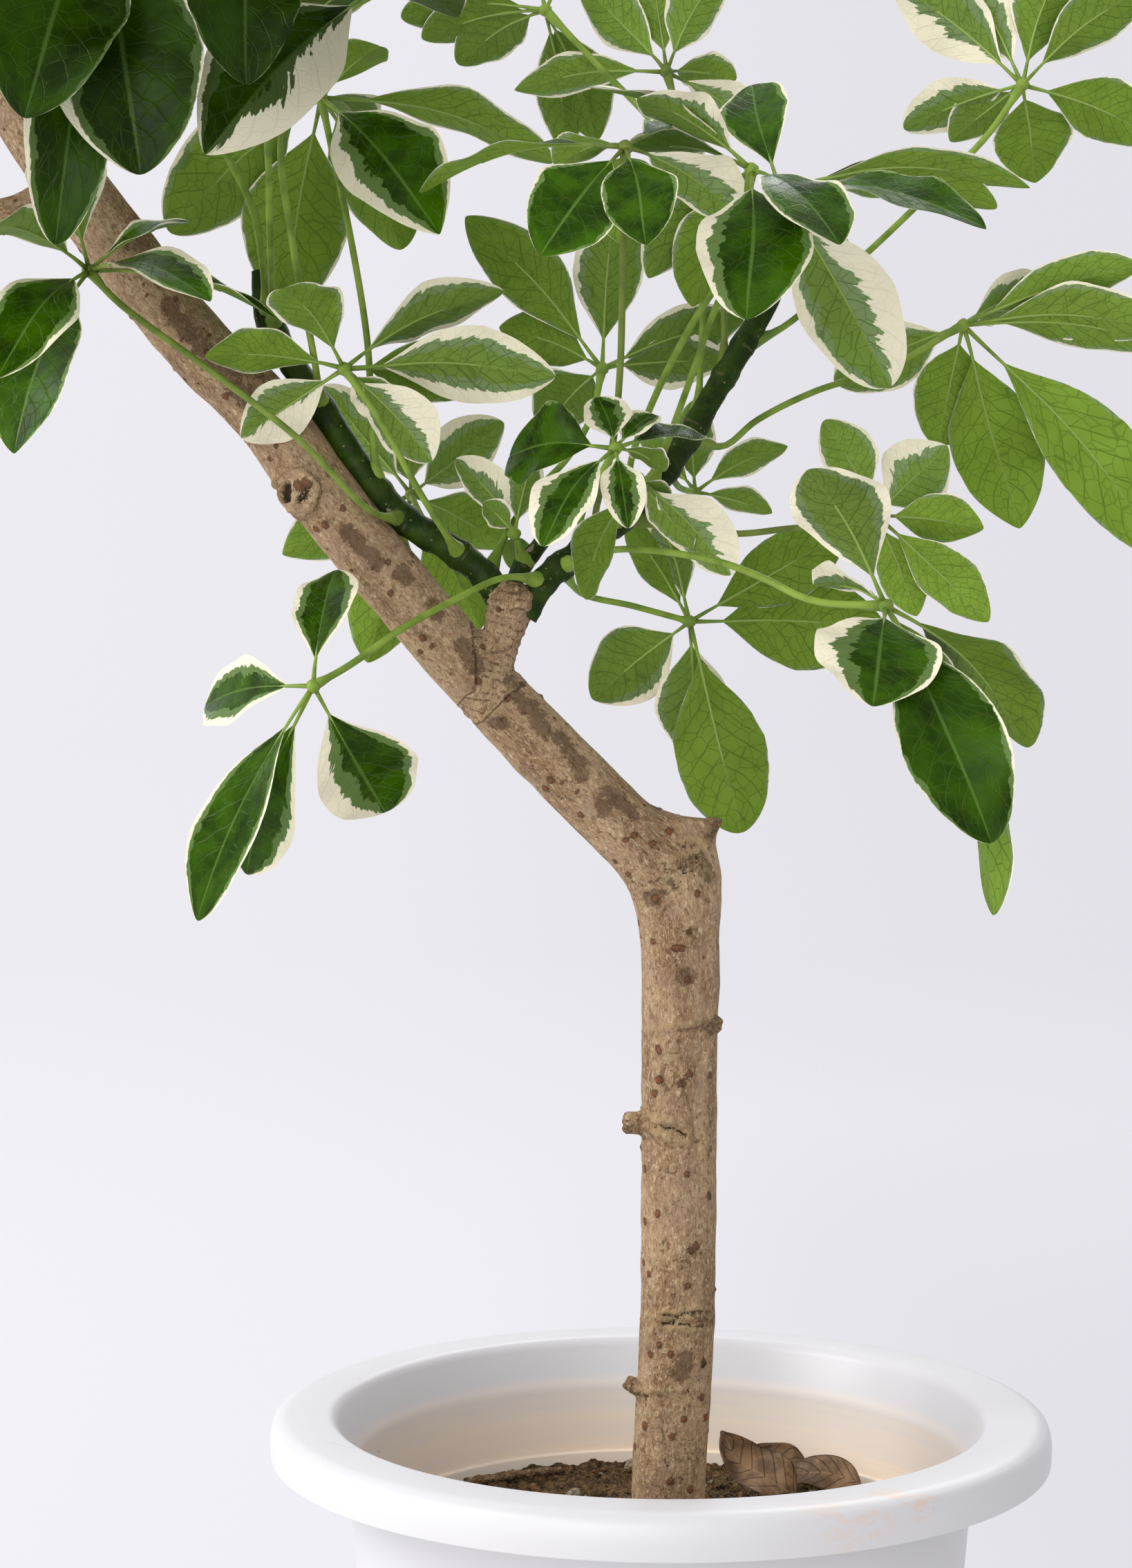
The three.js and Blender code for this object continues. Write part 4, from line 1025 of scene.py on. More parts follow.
# Marks on the bark: width, height and raggedness, and how much of it is orange wart, black crack,
# brown patch and olive scar.
WART = (1.2, 0.9, 0.8, (1, 0, 0.35, 0))
DARK_WART = (1.5, 0.9, 0.9, (0.8, 0.5, 0.6, 0))
SLIT = (0.6, -0.7, 0.8, (0, 0.8, 0.2, 0))
SPECK = (0.75, -0.4, 0.8, (0, 0.75, 0.3, 0))
PATCH = (3.6, -0.15, 0.9, (0, 0, 1, 0))
RIDGE = (1.5, 1.0, 0.5, (0, 0, 0, 0.3))
CREASE = (0.75, -0.5, 0.9, (0, 0.3, 0.65, 0))
COLLAR = (1.9, 1.5, 0.5, (0, 0, 0.1, 0.15))
HOLLOW = (2.2, -3.2, 0.5, (0.1, 0.85, 0.6, 0))
LUMP = (1.4, 1.6, 0.5, (0.75, 0, 0.3, 0))
LIP = (1.2, 1.5, 0.6, (0, 0, 0, 0.42))
GROOVE = (0.95, -1.7, 0.5, (0, 0.75, 0.4, 0.8))
ROUGH = (2.5, 0.7, 1.3, (0.3, 0.2, 0.75, 0.25))
STAIN = (1.8, 0.3, 1.2, (0, 0.2, 0.5, 0.9))


def oval(x, z, half_width, half_height):
    """Outline of an old scar on the plan."""
    turns = [i * math.pi / 6 for i in range(13)]
    return [(x + half_width * math.cos(t), z + half_height * math.sin(t)) for t in turns]


MARKS = [
    (WART, [
        (-0.2, 388), (11.7, 378.4), (-0.3, 376.4), (20.1, 378), (-1.6, 371), (10.9, 339.8), (-5.3, 342),
        (-5.1, 321.5), (-0.4, 324.4), (14.4, 312.1), (-5.7, 305.5), (-3.9, 300.8), (11.1, 296.6),
        (0.2, 273.6), (-3.2, 269.9), (4.7, 270), (-8.4, 268.9), (9.8, 244.7), (18.1, 245.3),
        (-5.3, 242.2), (4.9, 237.9), (-9.2, 234.1), (4.5, 220.7), (-10.5, 224.7), (12.2, 217.6),
        (16.8, 253.3), (-1.4, 446.6), (-2, 429.9), (8.9, 427.3), (6.6, 427.5), (11.2, 415.3),
        (14.8, 448.4), (-9.5, 471.3), (3.9, 472.7), (-2.6, 467.9), (-12.8, 469.4), (24.1, 441.3),
        (-41.8, 492.8), (-30.3, 479.1), (-43.8, 489.5), (-91.4, 547.6), (-58.6, 524.2),
        (-147.9, 626.2), (-148.5, 622), (-133, 589.7), (-129.3, 591.6), (-122.6, 597.9),
        (-168, 641.5), (-91.8, 547.9), (-12, 456), (-17, 461), (-34, 471), (-70, 531), (-104, 565),
    ]),
    (DARK_WART, [(8.7, 375), (19.2, 331.2), (12.5, 310.3), (11.6, 433.6), (17.3, 266.5)]),
    (SPECK, [
        (18.5, 273.9), (14.4, 232.7), (15.9, 260), (9.7, 467), (-37.3, 485.4), (-31.5, 506.2),
        (-154.3, 619), (19.3, 420.6), (9, 327), (18.6, 306), (16.5, 309), (0.5, 455), (-20, 476),
        (-24, 470), (-14, 478), (-8, 482), (-52, 497), (-60, 505), (-5, 448), (4, 463), (14, 462),
    ]),
]
MARK_LINES = [
    (COLLAR, [[
        (-150, 604), (-148.6, 610), (-143, 613), (-136.6, 611.4), (-132.8, 606), (-133.8, 599.6),
        (-139, 595.8), (-145.6, 596.8), (-149.4, 600.4), (-150, 604),
    ]]),
    (HOLLOW, [[(-145.5, 605), (-144.6, 602), (-145, 608)], [(-139, 601.5), (-136.6, 604)]]),
    (LUMP, [[(-140.6, 607), (-139, 605.6)], [(-137.6, 608.4), (-136.4, 607)]]),
    (SLIT, [
        [(11.3, 256), (11.6, 253.6)], [(-5.3, 253.2), (-5.6, 251.2)], [(2.4, 228.8), (3.4, 226.4)],
        [(8, 218.6), (9.6, 221)], [(1, 459.2), (2.5, 457.4), (3.7, 456.2)],
        [(6.1, 451.4), (7.9, 448.2)],
        [(7.3, 457.4), (13.3, 457.1), (13.3, 455)], [(9, 467), (10.4, 466.2)],
        [(17.4, 267.6), (18, 264.6)],
    ]),
    (RIDGE, [
        [(-4.7, 395.2), (3.7, 397), (13.3, 398.2), (19.2, 398.6)],
        [(-6.5, 363.8), (-4.1, 362.6), (-0.4, 361.1), (3.9, 360.8), (9.4, 360.5), (12.5, 355.8)],
        [(16.8, 355.9), (18.4, 352.8), (17.4, 349.1), (16.8, 346), (18.7, 343.6)],
        [(-6.5, 283.2), (-4.1, 285), (1.4, 284.4)],
        [(1, 282), (-1, 280.8), (-2.9, 277.7), (-4.1, 274)],
        [(-9, 256), (-2, 255.6), (4, 256.4), (9, 256.6)],
        [(-70, 515), (-60, 521), (-56, 531)],
    ]),
    (LIP, [
        [(-2, 360), (3.9, 359.4), (8.4, 358.4), (12, 356)],
        [(-2.2, 355.9), (2.1, 354.6), (7, 352.8), (10.7, 352.5)],
        [(2, 286.4), (6, 286.2), (12, 287.2), (20, 287.6)], [(4, 280.4), (12, 279.8), (19, 279.4)],
        [(7, 284), (12, 283.6), (17, 283.4)], [(9, 470), (14, 470.6), (18, 468)],
        [(3, 462), (10, 461), (16, 462)],
    ]),
    (GROOVE, [
        [(-1, 358.4), (3.9, 357.6), (7.6, 356.4), (10.7, 354.8)],
        [(2.1, 285.2), (5.8, 284.7), (11.9, 286), (17.4, 286.6), (20.5, 286.4)],
        [(0.8, 281.4), (5, 281.8)], [(8, 282), (11.9, 281.4), (19.3, 280.8)],
    ]),
    (STAIN, [
        [(14, 284.4), (18, 283)], [(14.4, 353.1), (14.8, 352.8)], [(2, 459.4), (5.6, 457.6)],
        [(18.7, 455), (18.8, 454)], [(4, 453.6), (6, 451)], [(12, 462), (16, 464)],
    ]),
    (ROUGH, [
        [(17, 397.2), (23.6, 397.4)], [(20, 395), (22.6, 399.4)], [(-13.4, 363), (-12.8, 357)],
        [(8, 460), (13, 459), (17, 461)], [(19.6, 471), (23, 477)], [(-1, 482.4), (4, 481.4)],
        [(-12.4, 260.4), (-11.4, 258.4)],
    ]),
    (CREASE, [
        [(-13, 452.3), (-7, 452), (-1, 453.5), (3.1, 454.4)],
        [(-7.7, 448.4), (-1, 448.4), (4.3, 449.6)],
        [(1.3, 444.8), (1.9, 443), (0.7, 440.7), (1.3, 438.9)],
        [(-2, 419.7), (-1.7, 416.1), (0.1, 412)],
        [(-6.8, 434), (-6.8, 428)], [(-0.4, 419.7), (1, 417)],
        [(20.5, 354), (20.4, 349), (19, 345)],
        [(0.2, 302.3), (2.1, 304.1), (7, 306.6), (10.4, 306.3), (9.4, 303.5), (7, 300.4), (4, 298)],
        [(4, 395), (10, 395.6), (16, 396)], [(8.6, 470), (12, 467), (17, 468)],
        [(20, 466), (22, 458)],
        [(-9, 254), (-3, 253.4), (2, 254.4)], [(1.2, 383), (0.4, 378), (2.4, 374)],
        [(-10, 219), (-4, 218), (0, 218.6)], [(2, 240), (1.6, 236), (3.4, 232)],
    ] + [oval(*spot) for spot in (
        (5.8, 389.1, 2, 2.6), (3.4, 377, 3, 5), (5.1, 342.3, 1.6, 2.2), (1.1, 339.8, 1.5, 2.4),
        (4.8, 326.3, 1.9, 2.3), (2.1, 311.4, 2, 1.6), (20.4, 284.6, 1.7, 2), (2.4, 241, 1.6, 3),
        (-140, 604, 9, 9.5),
    )]),
    (PATCH, [
        [(-49, 521), (-44, 512)], [(-38, 509), (-33, 501), (-30, 495)], [(-64, 515), (-61, 514)],
        [(-22, 483), (-21, 481)], [(-121, 589), (-116, 584), (-109, 577)],
        [(-100, 573), (-98, 571)],
        [(-88, 560), (-86, 556)], [(18.9, 455), (18.9, 454.8)], [(-57, 530), (-53, 522)],
        [(9, 262), (10, 268)], [(-3.6, 446.4), (-2.4, 446.6)], [(9.4, 416.5), (10.4, 415.6)],
        [(-160, 640), (-172, 655), (-190, 675)], [(-76, 545), (-70, 536)], [(-20, 488), (-10, 480)],
    ]),
]


def unbent(lines):
    """Samples of the middle lines: place, frame, length so far and limb, to lay the grain along."""
    samples = []
    for number in GRAINED:
        line = lines[number]
        count = 300 if number == 0 else 16
        points = [line.at(line.share(i / (count - 1))) for i in range(count)]
        run = LIMB_APART * number
        for i, (point, (side, other)) in enumerate(zip(points, frames_along(points))):
            if i:
                run += (point - points[i - 1]).length
            samples.append((point, side, other, run, number))
    return samples


class Bark:
    """How far each spot of the bark is raised, and its tints: wart, crack, brown and olive."""

    def __init__(self, mesh):
        self.rests = [vertex.co.copy() for vertex in mesh.vertices]
        self.tree = lookup(self.rests)
        self.lift = [0.0] * len(self.rests)
        self.tints = [[0.0] * 4 for _ in self.rests]

    def press(self, places, width, height, rag, tint):
        """Puts one mark on the bark round some places."""
        best = {}
        for place in places:
            for _, index, gap in self.tree.find_range(place, 2.4 * width):
                weight = math.exp(-((gap / width) ** 2))
                best[index] = max(best.get(index, 0), weight)
        for index, weight in best.items():
            ragged = 1 + rag * noise.noise(self.rests[index] * 0.9)
            self.lift[index] += height * weight * ragged
            for channel in range(4):
                here = min(1.3 * weight * ragged, 1) * tint[channel]
                self.tints[index][channel] = max(self.tints[index][channel], here)

    def press_seen(self, line, look, skin):
        """Puts a mark where the viewer sees its line of spots on the skin."""
        width, height, rag, tint = look
        places = []
        for x, z in line:
            if len(line) > 1:
                x += 0.9 * noise.noise(Vector((x, z, 3)) * 0.45)
                z += 1.3 * noise.noise(Vector((x, z, 9)) * 0.45)
            hit = skin.ray_cast(VIEWER, (Vector((x, 0, z)) - VIEWER).normalized())[0]
            if hit is not None:
                places.append(hit)
        size = 1 + 0.4 * noise.noise(Vector((line[0][0], line[0][1], 0)) * 0.7)
        self.press(places, width * size, height * size, rag, tint)

    def scatter(self, dice, warts):
        """Adds warts and specks at random, the warts only where the viewer doesn't look."""
        for _ in range(warts):
            spot = self.rests[dice.randrange(len(self.rests))]
            if spot.z > BARE_FROM and not (spot.y < -4 and spot.z < SEEN_UP_TO):
                size, height = dice.uniform(0.6, 1.15), dice.uniform(0.4, 0.8)
                self.press([spot], size, height, 0.5, (0.9, 0, 0.1, 0))
        for _ in range(warts // 2):
            spot = self.rests[dice.randrange(len(self.rests))]
            if spot.z > BARE_FROM:
                size, dark = dice.uniform(0.45, 0.8), dice.uniform(0.4, 0.9)
                self.press([spot], size, -0.4, 0.5, (0, dark, 0, 0))


def dotted(line, gap=0.8):
    """Spots along a line of the plan, closer together than a mark is wide."""
    spots = [line[0]]
    for (x0, z0), (x1, z1) in zip(line, line[1:]):
        count = max(int(math.hypot(x1 - x0, z1 - z0) / gap), 1)
        spots += [(mix(x0, x1, i / count), mix(z0, z1, i / count)) for i in range(1, count + 1)]
    return spots


def settle(bm, verts, rounds):
    """Smooths vertices a number of times."""
    for _ in range(rounds):
        bmesh.ops.smooth_vert(
            bm, verts=verts, factor=0.5, use_axis_x=True, use_axis_y=True, use_axis_z=True
        )


def bark_skin(lines):
    """One closed skin over the trunk and its limbs, in millimetres, and a tree to cast rays on it."""
    bm = bmesh.new()
    for number, line in enumerate(lines):
        rows, sides = (160, 40) if number == 0 else (14, 24)
        shares = [line.share(i / rows) for i in range(rows + 1)]
        tube(bm, [line.at(t) for t in shares], [line.radius(t) for t in shares], sides)
    helper = add_object("trunk_rough", mesh_of(bm, "trunk_rough"))
    remesh = helper.modifiers.new("skin", "REMESH")
    remesh.mode = "VOXEL"
    remesh.voxel_size = BARK_CELL * MM
    remesh.adaptivity = 0
    mesh = applied(helper, "trunk_bark")

    bm = bmesh.new()
    bm.from_mesh(mesh)
    bmesh.ops.scale(bm, vec=(1 / MM, 1 / MM, 1 / MM), verts=bm.verts)
    settle(bm, bm.verts, rounds=3)
    saddle = [v for v in bm.verts if (Vector((v.co.x, v.co.z)) - SADDLE).length < SADDLE_REACH]
    settle(bm, saddle, rounds=14)
    bm.to_mesh(mesh)
    bm.normal_update()
    skin = BVHTree.FromBMesh(bm)
    bm.free()
    return mesh, skin


def build_trunk(stem, warts):
    """The trunk's bark with its marks, its fibres and the wrinkles of the spur, in metres."""
    lines = [stem] + [seen_stem(limb) for limb in LIMBS]
    mesh, skin = bark_skin(lines)
    bark = Bark(mesh)
    for look, spots in MARKS:
        for spot in spots:
            bark.press_seen([spot], look, skin)
    for look, rows in MARK_LINES:
        for row in rows:
            bark.press_seen(dotted(row), look, skin)
    bark.scatter(random.Random(41), warts)

    samples = unbent(lines)
    middle = lookup([sample[0] for sample in samples])
    normals = [vertex.normal.copy() for vertex in mesh.vertices]
    grain, moved = [], []
    for place, normal, raised, tint in zip(bark.rests, normals, bark.lift, bark.tints):
        point, side, other, run, number = samples[middle.find(place)[1]]
        spoke = place - point
        way = side.cross(other)
        straight = Vector((spoke.dot(side), spoke.dot(other), run + spoke.dot(way)))
        grain.extend(straight * MM)
        if number == SPUR:
            wrinkle = math.cos(1.9 * straight.z + 4 * noise.noise(place * 0.15))
            raised += 0.28 * wrinkle
            tint[2] = max(tint[2], 0.9 * max(-wrinkle, 0) ** 3)
        coarse = noise.noise(place * 0.03) * 0.45 + noise.noise(place * 0.11) * 0.3
        fibres = noise.noise(Vector((straight.x * 0.55, straight.y * 0.55, straight.z * 0.09))) * 0.3
        moved.extend(place + normal * (coarse + fibres + raised - 0.1))
    mesh.vertices.foreach_set("co", moved)
    tint_layer = mesh.attributes.new("mark", "FLOAT_COLOR", "POINT")
    tint_layer.data.foreach_set("color", [channel for tint in bark.tints for channel in tint])
    grain_layer = mesh.attributes.new("grain", "FLOAT_VECTOR", "POINT")
    grain_layer.data.foreach_set("vector", grain)
    mesh.transform(Matrix.Scale(MM, 4))
    mesh.polygons.foreach_set("use_smooth", [True] * len(mesh.polygons))
    return mesh


def bark_finish(base):
    """Tan bark with fine lengthwise fibres, pale flakes, orange warts, cracks and brown patches."""
    f = Finish("bark")
    grain = f.attribute("grain")["Vector"]
    along = f.stretched(grain, 1, 1, 0.3)
    wart, crack, brown, olive = f.painted("mark")

    broad = f.clouds(along, 62.0, 3.0, 0.6)
    fibres = f.clouds(along, 1500.0, 3.0, 0.65, 0.4)
    flakes = f.clouds(f.stretched(grain, 1, 1, 0.55), 700.0, 4.0, 0.74, 0.6)
    grit = f.clouds(grain, 1500.0, 3.0, 0.75)
    spots = f.clouds(grain, 330.0, 4.0, 0.72, 0.5)
    haze = f.clouds(grain, 70.0, 3.0)
    colour = f.blend(f.ease(broad, 0.4, 0.64), base, rgb(158, 126, 92))
    colour = f.layered(
        colour,
        (spots, 0.52, 0.64, 0.7, rgb(118, 88, 56)),
        (flakes, 0.53, 0.64, 0.7, rgb(220, 198, 160)),
        (flakes, 0.47, 0.36, 0.6, rgb(112, 84, 54)),
        (fibres, 0.55, 0.68, 0.4, rgb(104, 78, 50)),
        (fibres, 0.44, 0.34, 0.35, rgb(220, 202, 168)),
        (haze, 0.48, 0.68, 0.35, rgb(160, 132, 112)),
        (grit, 0.62, 0.7, 0.7, rgb(84, 62, 42)),
    )
    thin = f.maths("ABSOLUTE", f.maths("SUBTRACT", f.clouds(along, 170.0, 4.0, 0.6, 0.8), 0.5))
    hair = f.times(f.ease(thin, 0.0, 0.006, 1.0, 0.0), f.ease(broad, 0.5, 0.62))
    colour = f.blend(f.times(hair, 0.6), colour, rgb(92, 70, 48))

    # The marks, each with an edge that the bark's own patterns make uneven.
    uneven = f.maths("SUBTRACT", f.times(flakes, 0.6, f.times(spots, 0.6)), 0.6)
    ragged = f.times(uneven, 2.6, brown)
    scar = f.times(uneven, 1.4, olive)
    colour = f.layered(
        colour,
        (ragged, 0.42, 0.62, 0.7, rgb(92, 68, 48)),
        (scar, 0.12, 0.34, 0.5, rgb(182, 158, 116)),
        (scar, 0.55, 0.85, 0.65, rgb(88, 70, 44)),
    )
    dots = f.ease(f.cells(grain, 125.0), 0.05, 0.11, 0.85, 0.0)
    dots = f.times(dots, f.ease(f.clouds(grain, 52.0), 0.5, 0.56))
    colour = f.blend(dots, colour, rgb(116, 78, 50))
    rough = f.sway(wart, grit, 1.1)
    colour = f.layered(
        colour,
        (rough, 0.16, 0.4, 0.85, rgb(84, 58, 38)),
        (rough, 0.56, 0.86, 0.9, rgb(144, 88, 54)),
        (f.sway(crack, grit, 1.8), 0.4, 0.72, 0.9, rgb(40, 30, 20)),
    )

    height = f.times(fibres, 0.45, f.times(flakes, 0.8))
    for pattern, rise in ((grit, -0.4), (spots, 0.9), (hair, -0.6), (dots, 0.5)):
        height = f.times(pattern, rise, height)
    normal = f.relief(height, 1.0, 0.0014)
    return f.coat(colour, f.ease(flakes, 0.3, 0.7, 0.92, 0.75), normal, specular=0.2)


# Shoots
SHOOT_STEP = 1.1  # between two rows of a shoot


def build_shoot(stem, starts):
    """A green shoot, thickened where the leaves sit, with a papery scale above each foot."""
    bm = bmesh.new()
    tone = bm.verts.layers.float_color.new("tone")
    rows = int(stem.lengths[-1] / SHOOT_STEP)
    shares = [stem.share(i / rows) for i in range(rows + 1)]
    points = [stem.at(t) for t in shares]
    joints = [min(range(rows + 1), key=lambda i: (points[i] - foot).length) for foot, _ in starts]
    radii, pale = [], []
    for i, t in enumerate(shares):
        swell = sum(math.exp(-(((i - j) * SHOOT_STEP / 3.2) ** 2)) for j in joints)
        ring = max([math.exp(-(((i - j + 2) * SHOOT_STEP / 1.2) ** 2)) for j in joints] + [0])
        radii.append(stem.radius(t) * (1 + 0.13 * min(swell, 1.3)) + 0.25 * ring)
        pale.append(ring)
    for vert in tube(bm, points, radii, sides=22):
        near = min(range(rows + 1), key=lambda n: (points[n] - vert.co).length)
        broken = smooth(-0.1, 0.45, noise.noise(vert.co * 0.24))
        vert.co += vert.normal * 0.28 * noise.noise(vert.co * 0.35)
        vert[tone] = (pale[near] * broken, near / rows, 0, 0)
    for joint, (foot, beyond) in zip(joints, starts):
        add_scale(bm, tone, points, radii, joint, beyond - foot)
    bmesh.ops.recalc_face_normals(bm, faces=bm.faces)
    return bm


def add_scale(bm, tone, points, radii, joint, lean):
    """A dry, pointed scale that hugs the shoot above a leaf's foot."""
    top = min(joint + 7, len(points) - 1)
    low = max(joint - 1, 0)
    way = (points[top] - points[low]).normalized()
    side = (lean - way * lean.dot(way)).normalized()
    reach = radii[joint] * 0.9
    other = way.cross(side)
    cone = bmesh.ops.create_cone(bm, cap_ends=True, segments=12, radius1=1, radius2=0.1, depth=1)
    for vert in cone["verts"]:
        x, y, z = vert.co
        place = points[low] + way * ((z + 0.5) * 8.5)
        place += side * (reach + 0.9 * x * (0.6 + 0.4 * z)) + other * (3.4 * y)
        place += side * (-0.12 * (y * 3.4) ** 2)
        vert.co = place
        vert[tone] = (0, 0.5, 1, 0)
        for face in vert.link_faces:
            face.smooth = True


def shoot_finish():
    """Deep green skin with pale pores, faint broken rings and papery grey scales."""
    f = Finish("green_shoot")
    where = f.place()
    ring, _, scale, _ = f.painted("tone")
    mottle = f.clouds(where, 120.0, 3.0)
    fold = f.clouds(where, 420.0, 4.0, 0.65)
    pores = f.ease(f.cells(where, 300.0), 0.05, 0.14, 0.6, 0.0)
    colour = f.blend(f.ease(mottle, 0.35, 0.7), rgb(26, 44, 4), rgb(48, 70, 10))
    colour = f.blend(pores, colour, rgb(176, 170, 112))
    colour = f.layered(colour, (f.sway(ring, mottle, 0.7), 0.5, 0.8, 0.35, rgb(112, 102, 66)))
    colour = f.blend(f.times(scale, 0.75), colour, rgb(158, 140, 130))
    colour = f.layered(colour, (fold, 0.56, 0.72, 0.35, rgb(92, 84, 66)))
    height = f.times(pores, 0.6, f.times(fold, 0.5))
    return f.coat(colour, 0.46, f.relief(height, 0.5, 0.0007), specular=0.12)


# Pot
POT_LEAST_FACES = 1000  # fewer are left where a drain's cut fails


def inner_radius(z):
    """Inside of the pot's wall at a height."""
    slope = (POT_NECK_RADIUS - POT_FOOT_RADIUS) / (POT_HEIGHT - RIM_DROP)
    return POT_FOOT_RADIUS - POT_WALL + slope * z


def pot_profile():
    """Corners of half a cut through the pot, outside first, each with how much it is rounded."""
    skirt = POT_HEIGHT - RIM_DROP
    mouth = RIM_RADIUS - RIM_WIDTH
    ledge = inner_radius(LEDGE_LEVEL)
    return [
        (0, 0, 0), (REST_RADIUS, 0, 0.6), (REST_RADIUS + 2, FOOT_RISE, 0.6),
        (POT_FOOT_RADIUS - 14, FOOT_RISE, 0.6), (POT_FOOT_RADIUS - 12, 0, 0.6),
        (POT_FOOT_RADIUS, 0, 2.2), (POT_NECK_RADIUS, skirt, 1.2), (mouth + 1, POT_HEIGHT - 6, 1.2),
        (mouth + 4.5, POT_HEIGHT - 3, 1), (RIM_RADIUS - 5.5, POT_HEIGHT - 3.2, 1.2),
        (RIM_RADIUS - 2.6, skirt, 0.7), (RIM_RADIUS - 0.5, skirt, 0.7),
        (RIM_RADIUS, POT_HEIGHT - 6.5, 3.2), (RIM_RADIUS - 1.6, POT_HEIGHT - 2.4, 1.5),
        (RIM_RADIUS - 5.5, POT_HEIGHT - 0.2, 1.8), (RIM_RADIUS - RIM_WIDTH / 2, POT_HEIGHT, 2),
        (mouth + 2.5, POT_HEIGHT - 0.3, 1.3), (mouth, POT_HEIGHT - 2.5, 1.5),
        (inner_radius(skirt - 4), skirt - 4, 1.8), (ledge, LEDGE_LEVEL, 0.5),
        (ledge - LEDGE_WIDTH, LEDGE_LEVEL, 0.5),
        (inner_radius(POT_FLOOR) - LEDGE_WIDTH, POT_FLOOR, 1.5), (0, POT_FLOOR, 0),
    ]


def turned_body(corners, steps):
    """Rounds a row of corners and turns it once about the upright axis."""
    bm = bmesh.new()
    chain = [bm.verts.new((radius, 0, z)) for radius, z, _ in corners]
    for a, b in zip(chain, chain[1:]):
        bm.edges.new((a, b))
    for vert, (_, _, rounding) in zip(chain, corners):
        if rounding:
            bmesh.ops.bevel(
                bm, geom=[vert], offset=rounding, offset_type="OFFSET", affect="VERTICES",
                segments=5, profile=0.5, material=-1, clamp_overlap=True,
            )
    bmesh.ops.spin(
        bm, geom=bm.verts[:] + bm.edges[:], cent=(0, 0, 0), axis=(0, 0, 1),
        angle=2 * math.pi, steps=steps, use_merge=True, use_duplicate=False,
    )
    bmesh.ops.remove_doubles(bm, verts=bm.verts, dist=1e-4)
    bmesh.ops.recalc_face_normals(bm, faces=bm.faces)
    for face in bm.faces:
        face.smooth = True
    return bm


def drilled(bm):
    """The pot's mesh with its drain holes cut through the bottom plate."""
    drills = bmesh.new()
    for i in range(DRAIN_COUNT):
        made = bmesh.ops.create_cone(
            drills, cap_ends=True, segments=32, radius1=DRAIN_RADIUS * MM, radius2=DRAIN_RADIUS * MM,
            depth=4 * POT_FLOOR * MM,
        )["verts"]
        spot = polar(360 * i / DRAIN_COUNT, 0) * DRAIN_CIRCLE * POT_FOOT_RADIUS * MM
        bmesh.ops.translate(drills, verts=made, vec=spot)
    cutter = add_object("drills", mesh_of(drills, "drills", scale=1))
    shell = add_object("pot_shell", mesh_of(bm, "pot_shell"))
    cut = shell.modifiers.new("drains", "BOOLEAN")
    cut.operation = "DIFFERENCE"
    cut.solver = "EXACT"
    cut.object = cutter
    mesh = applied(shell, "pot")
    discard(cutter)
    return mesh


def pot_finish(white):
    """White satin plastic: faint specks and scuffs, dust with painted light inside, a brown smear on
    the rim.
    """
    f = Finish("white_plastic")
    where = f.place()
    x, y, z = f.split(where)
    radius = f.maths("SQRT", f.maths("ADD", f.times(x, x), f.times(y, y)))
    haze = f.clouds(where, 14.0, 3.0)
    colour = f.blend(f.ease(haze, 0.35, 0.7, 0.0, 0.5), white, rgb(207, 207, 209))

    # Dust lies inside, below the rim, thicker near the soil and in faint rings. Its colour is paler and
    # warmer than the plastic, so it is partly painted light that lifts the shaded lower wall.
    wall = f.times(z, (POT_FOOT_RADIUS - POT_NECK_RADIUS) / (POT_HEIGHT - RIM_DROP), radius)
    skin = POT_FOOT_RADIUS * MM
    inside = f.times(f.ease(radius, 0.130, 0.119), f.ease(z, 0.252, 0.214))
    inside = f.times(inside, f.ease(wall, skin - 0.0012, skin - 0.0024))
    rings = f.clouds(f.stretched(where, 5, 5, 160), 1.0, 3.0, 0.6)
    dust_and_painted_light = f.times(inside, f.times(f.ease(z, 0.236, 0.200), 0.35, 0.6))
    dust_and_painted_light = f.times(dust_and_painted_light, f.ease(rings, 0.3, 0.75, 0.7, 1.1))
    # Pale warm colour: partly dust, partly painted light that brightens the inner wall, most near the
    # soil.
    colour = f.blend(dust_and_painted_light, colour, rgb(240, 220, 196))
    specks = f.ease(f.cells(where, 60.0), 0.030, 0.045, 1.0, 0.0)
    specks = f.times(specks, f.ease(f.clouds(where, 21.0), 0.56, 0.6))
    colour = f.blend(f.times(specks, f.times(inside, 0.6, 0.12)), colour, rgb(96, 78, 58))

    def near(spot, size, stretch):
        """1 at a spot in millimetres, falling to 0 at a distance."""
        away = f.vector("MULTIPLY", f.vector("SUBTRACT", where, tuple(c * MM for c in spot)), stretch)
        return f.ease(f.vector("LENGTH", away, output="Value"), size * MM, 0.25 * size * MM)

    brush = f.ease(f.clouds(f.stretched(where, 45, 200, 200), 1.0, 4.0, 0.7, 0.6), 0.46, 0.62)
    beside = f.times(near((58, -134, 249), 24, (0.7, 1.6, 1)), 0.6)
    smear = f.maths("MAXIMUM", near((80, -122, 249), 13, (0.7, 1.2, 1)), beside)
    colour = f.blend(f.times(f.times(smear, brush), 0.5), colour, rgb(222, 180, 140))
    off_line = f.maths("ABSOLUTE", f.times(y, 1.35, f.maths("ADD", x, 0.197)))
    scratch = f.times(near((-117, -60, 246), 16, (1, 1, 0.4)), f.ease(off_line, 0.0004, 0.0))
    colour = f.blend(f.times(scratch, 0.6), colour, rgb(118, 112, 108))

    height = f.times(f.clouds(where, 420.0, 3.0), 0.12, f.clouds(where, 16.0, 2.0))
    roughness = f.times(dust_and_painted_light, 0.35, f.ease(haze, 0.3, 0.7, 0.3, 0.42))
    return f.coat(colour, roughness, f.relief(height, 0.18, 0.0016))


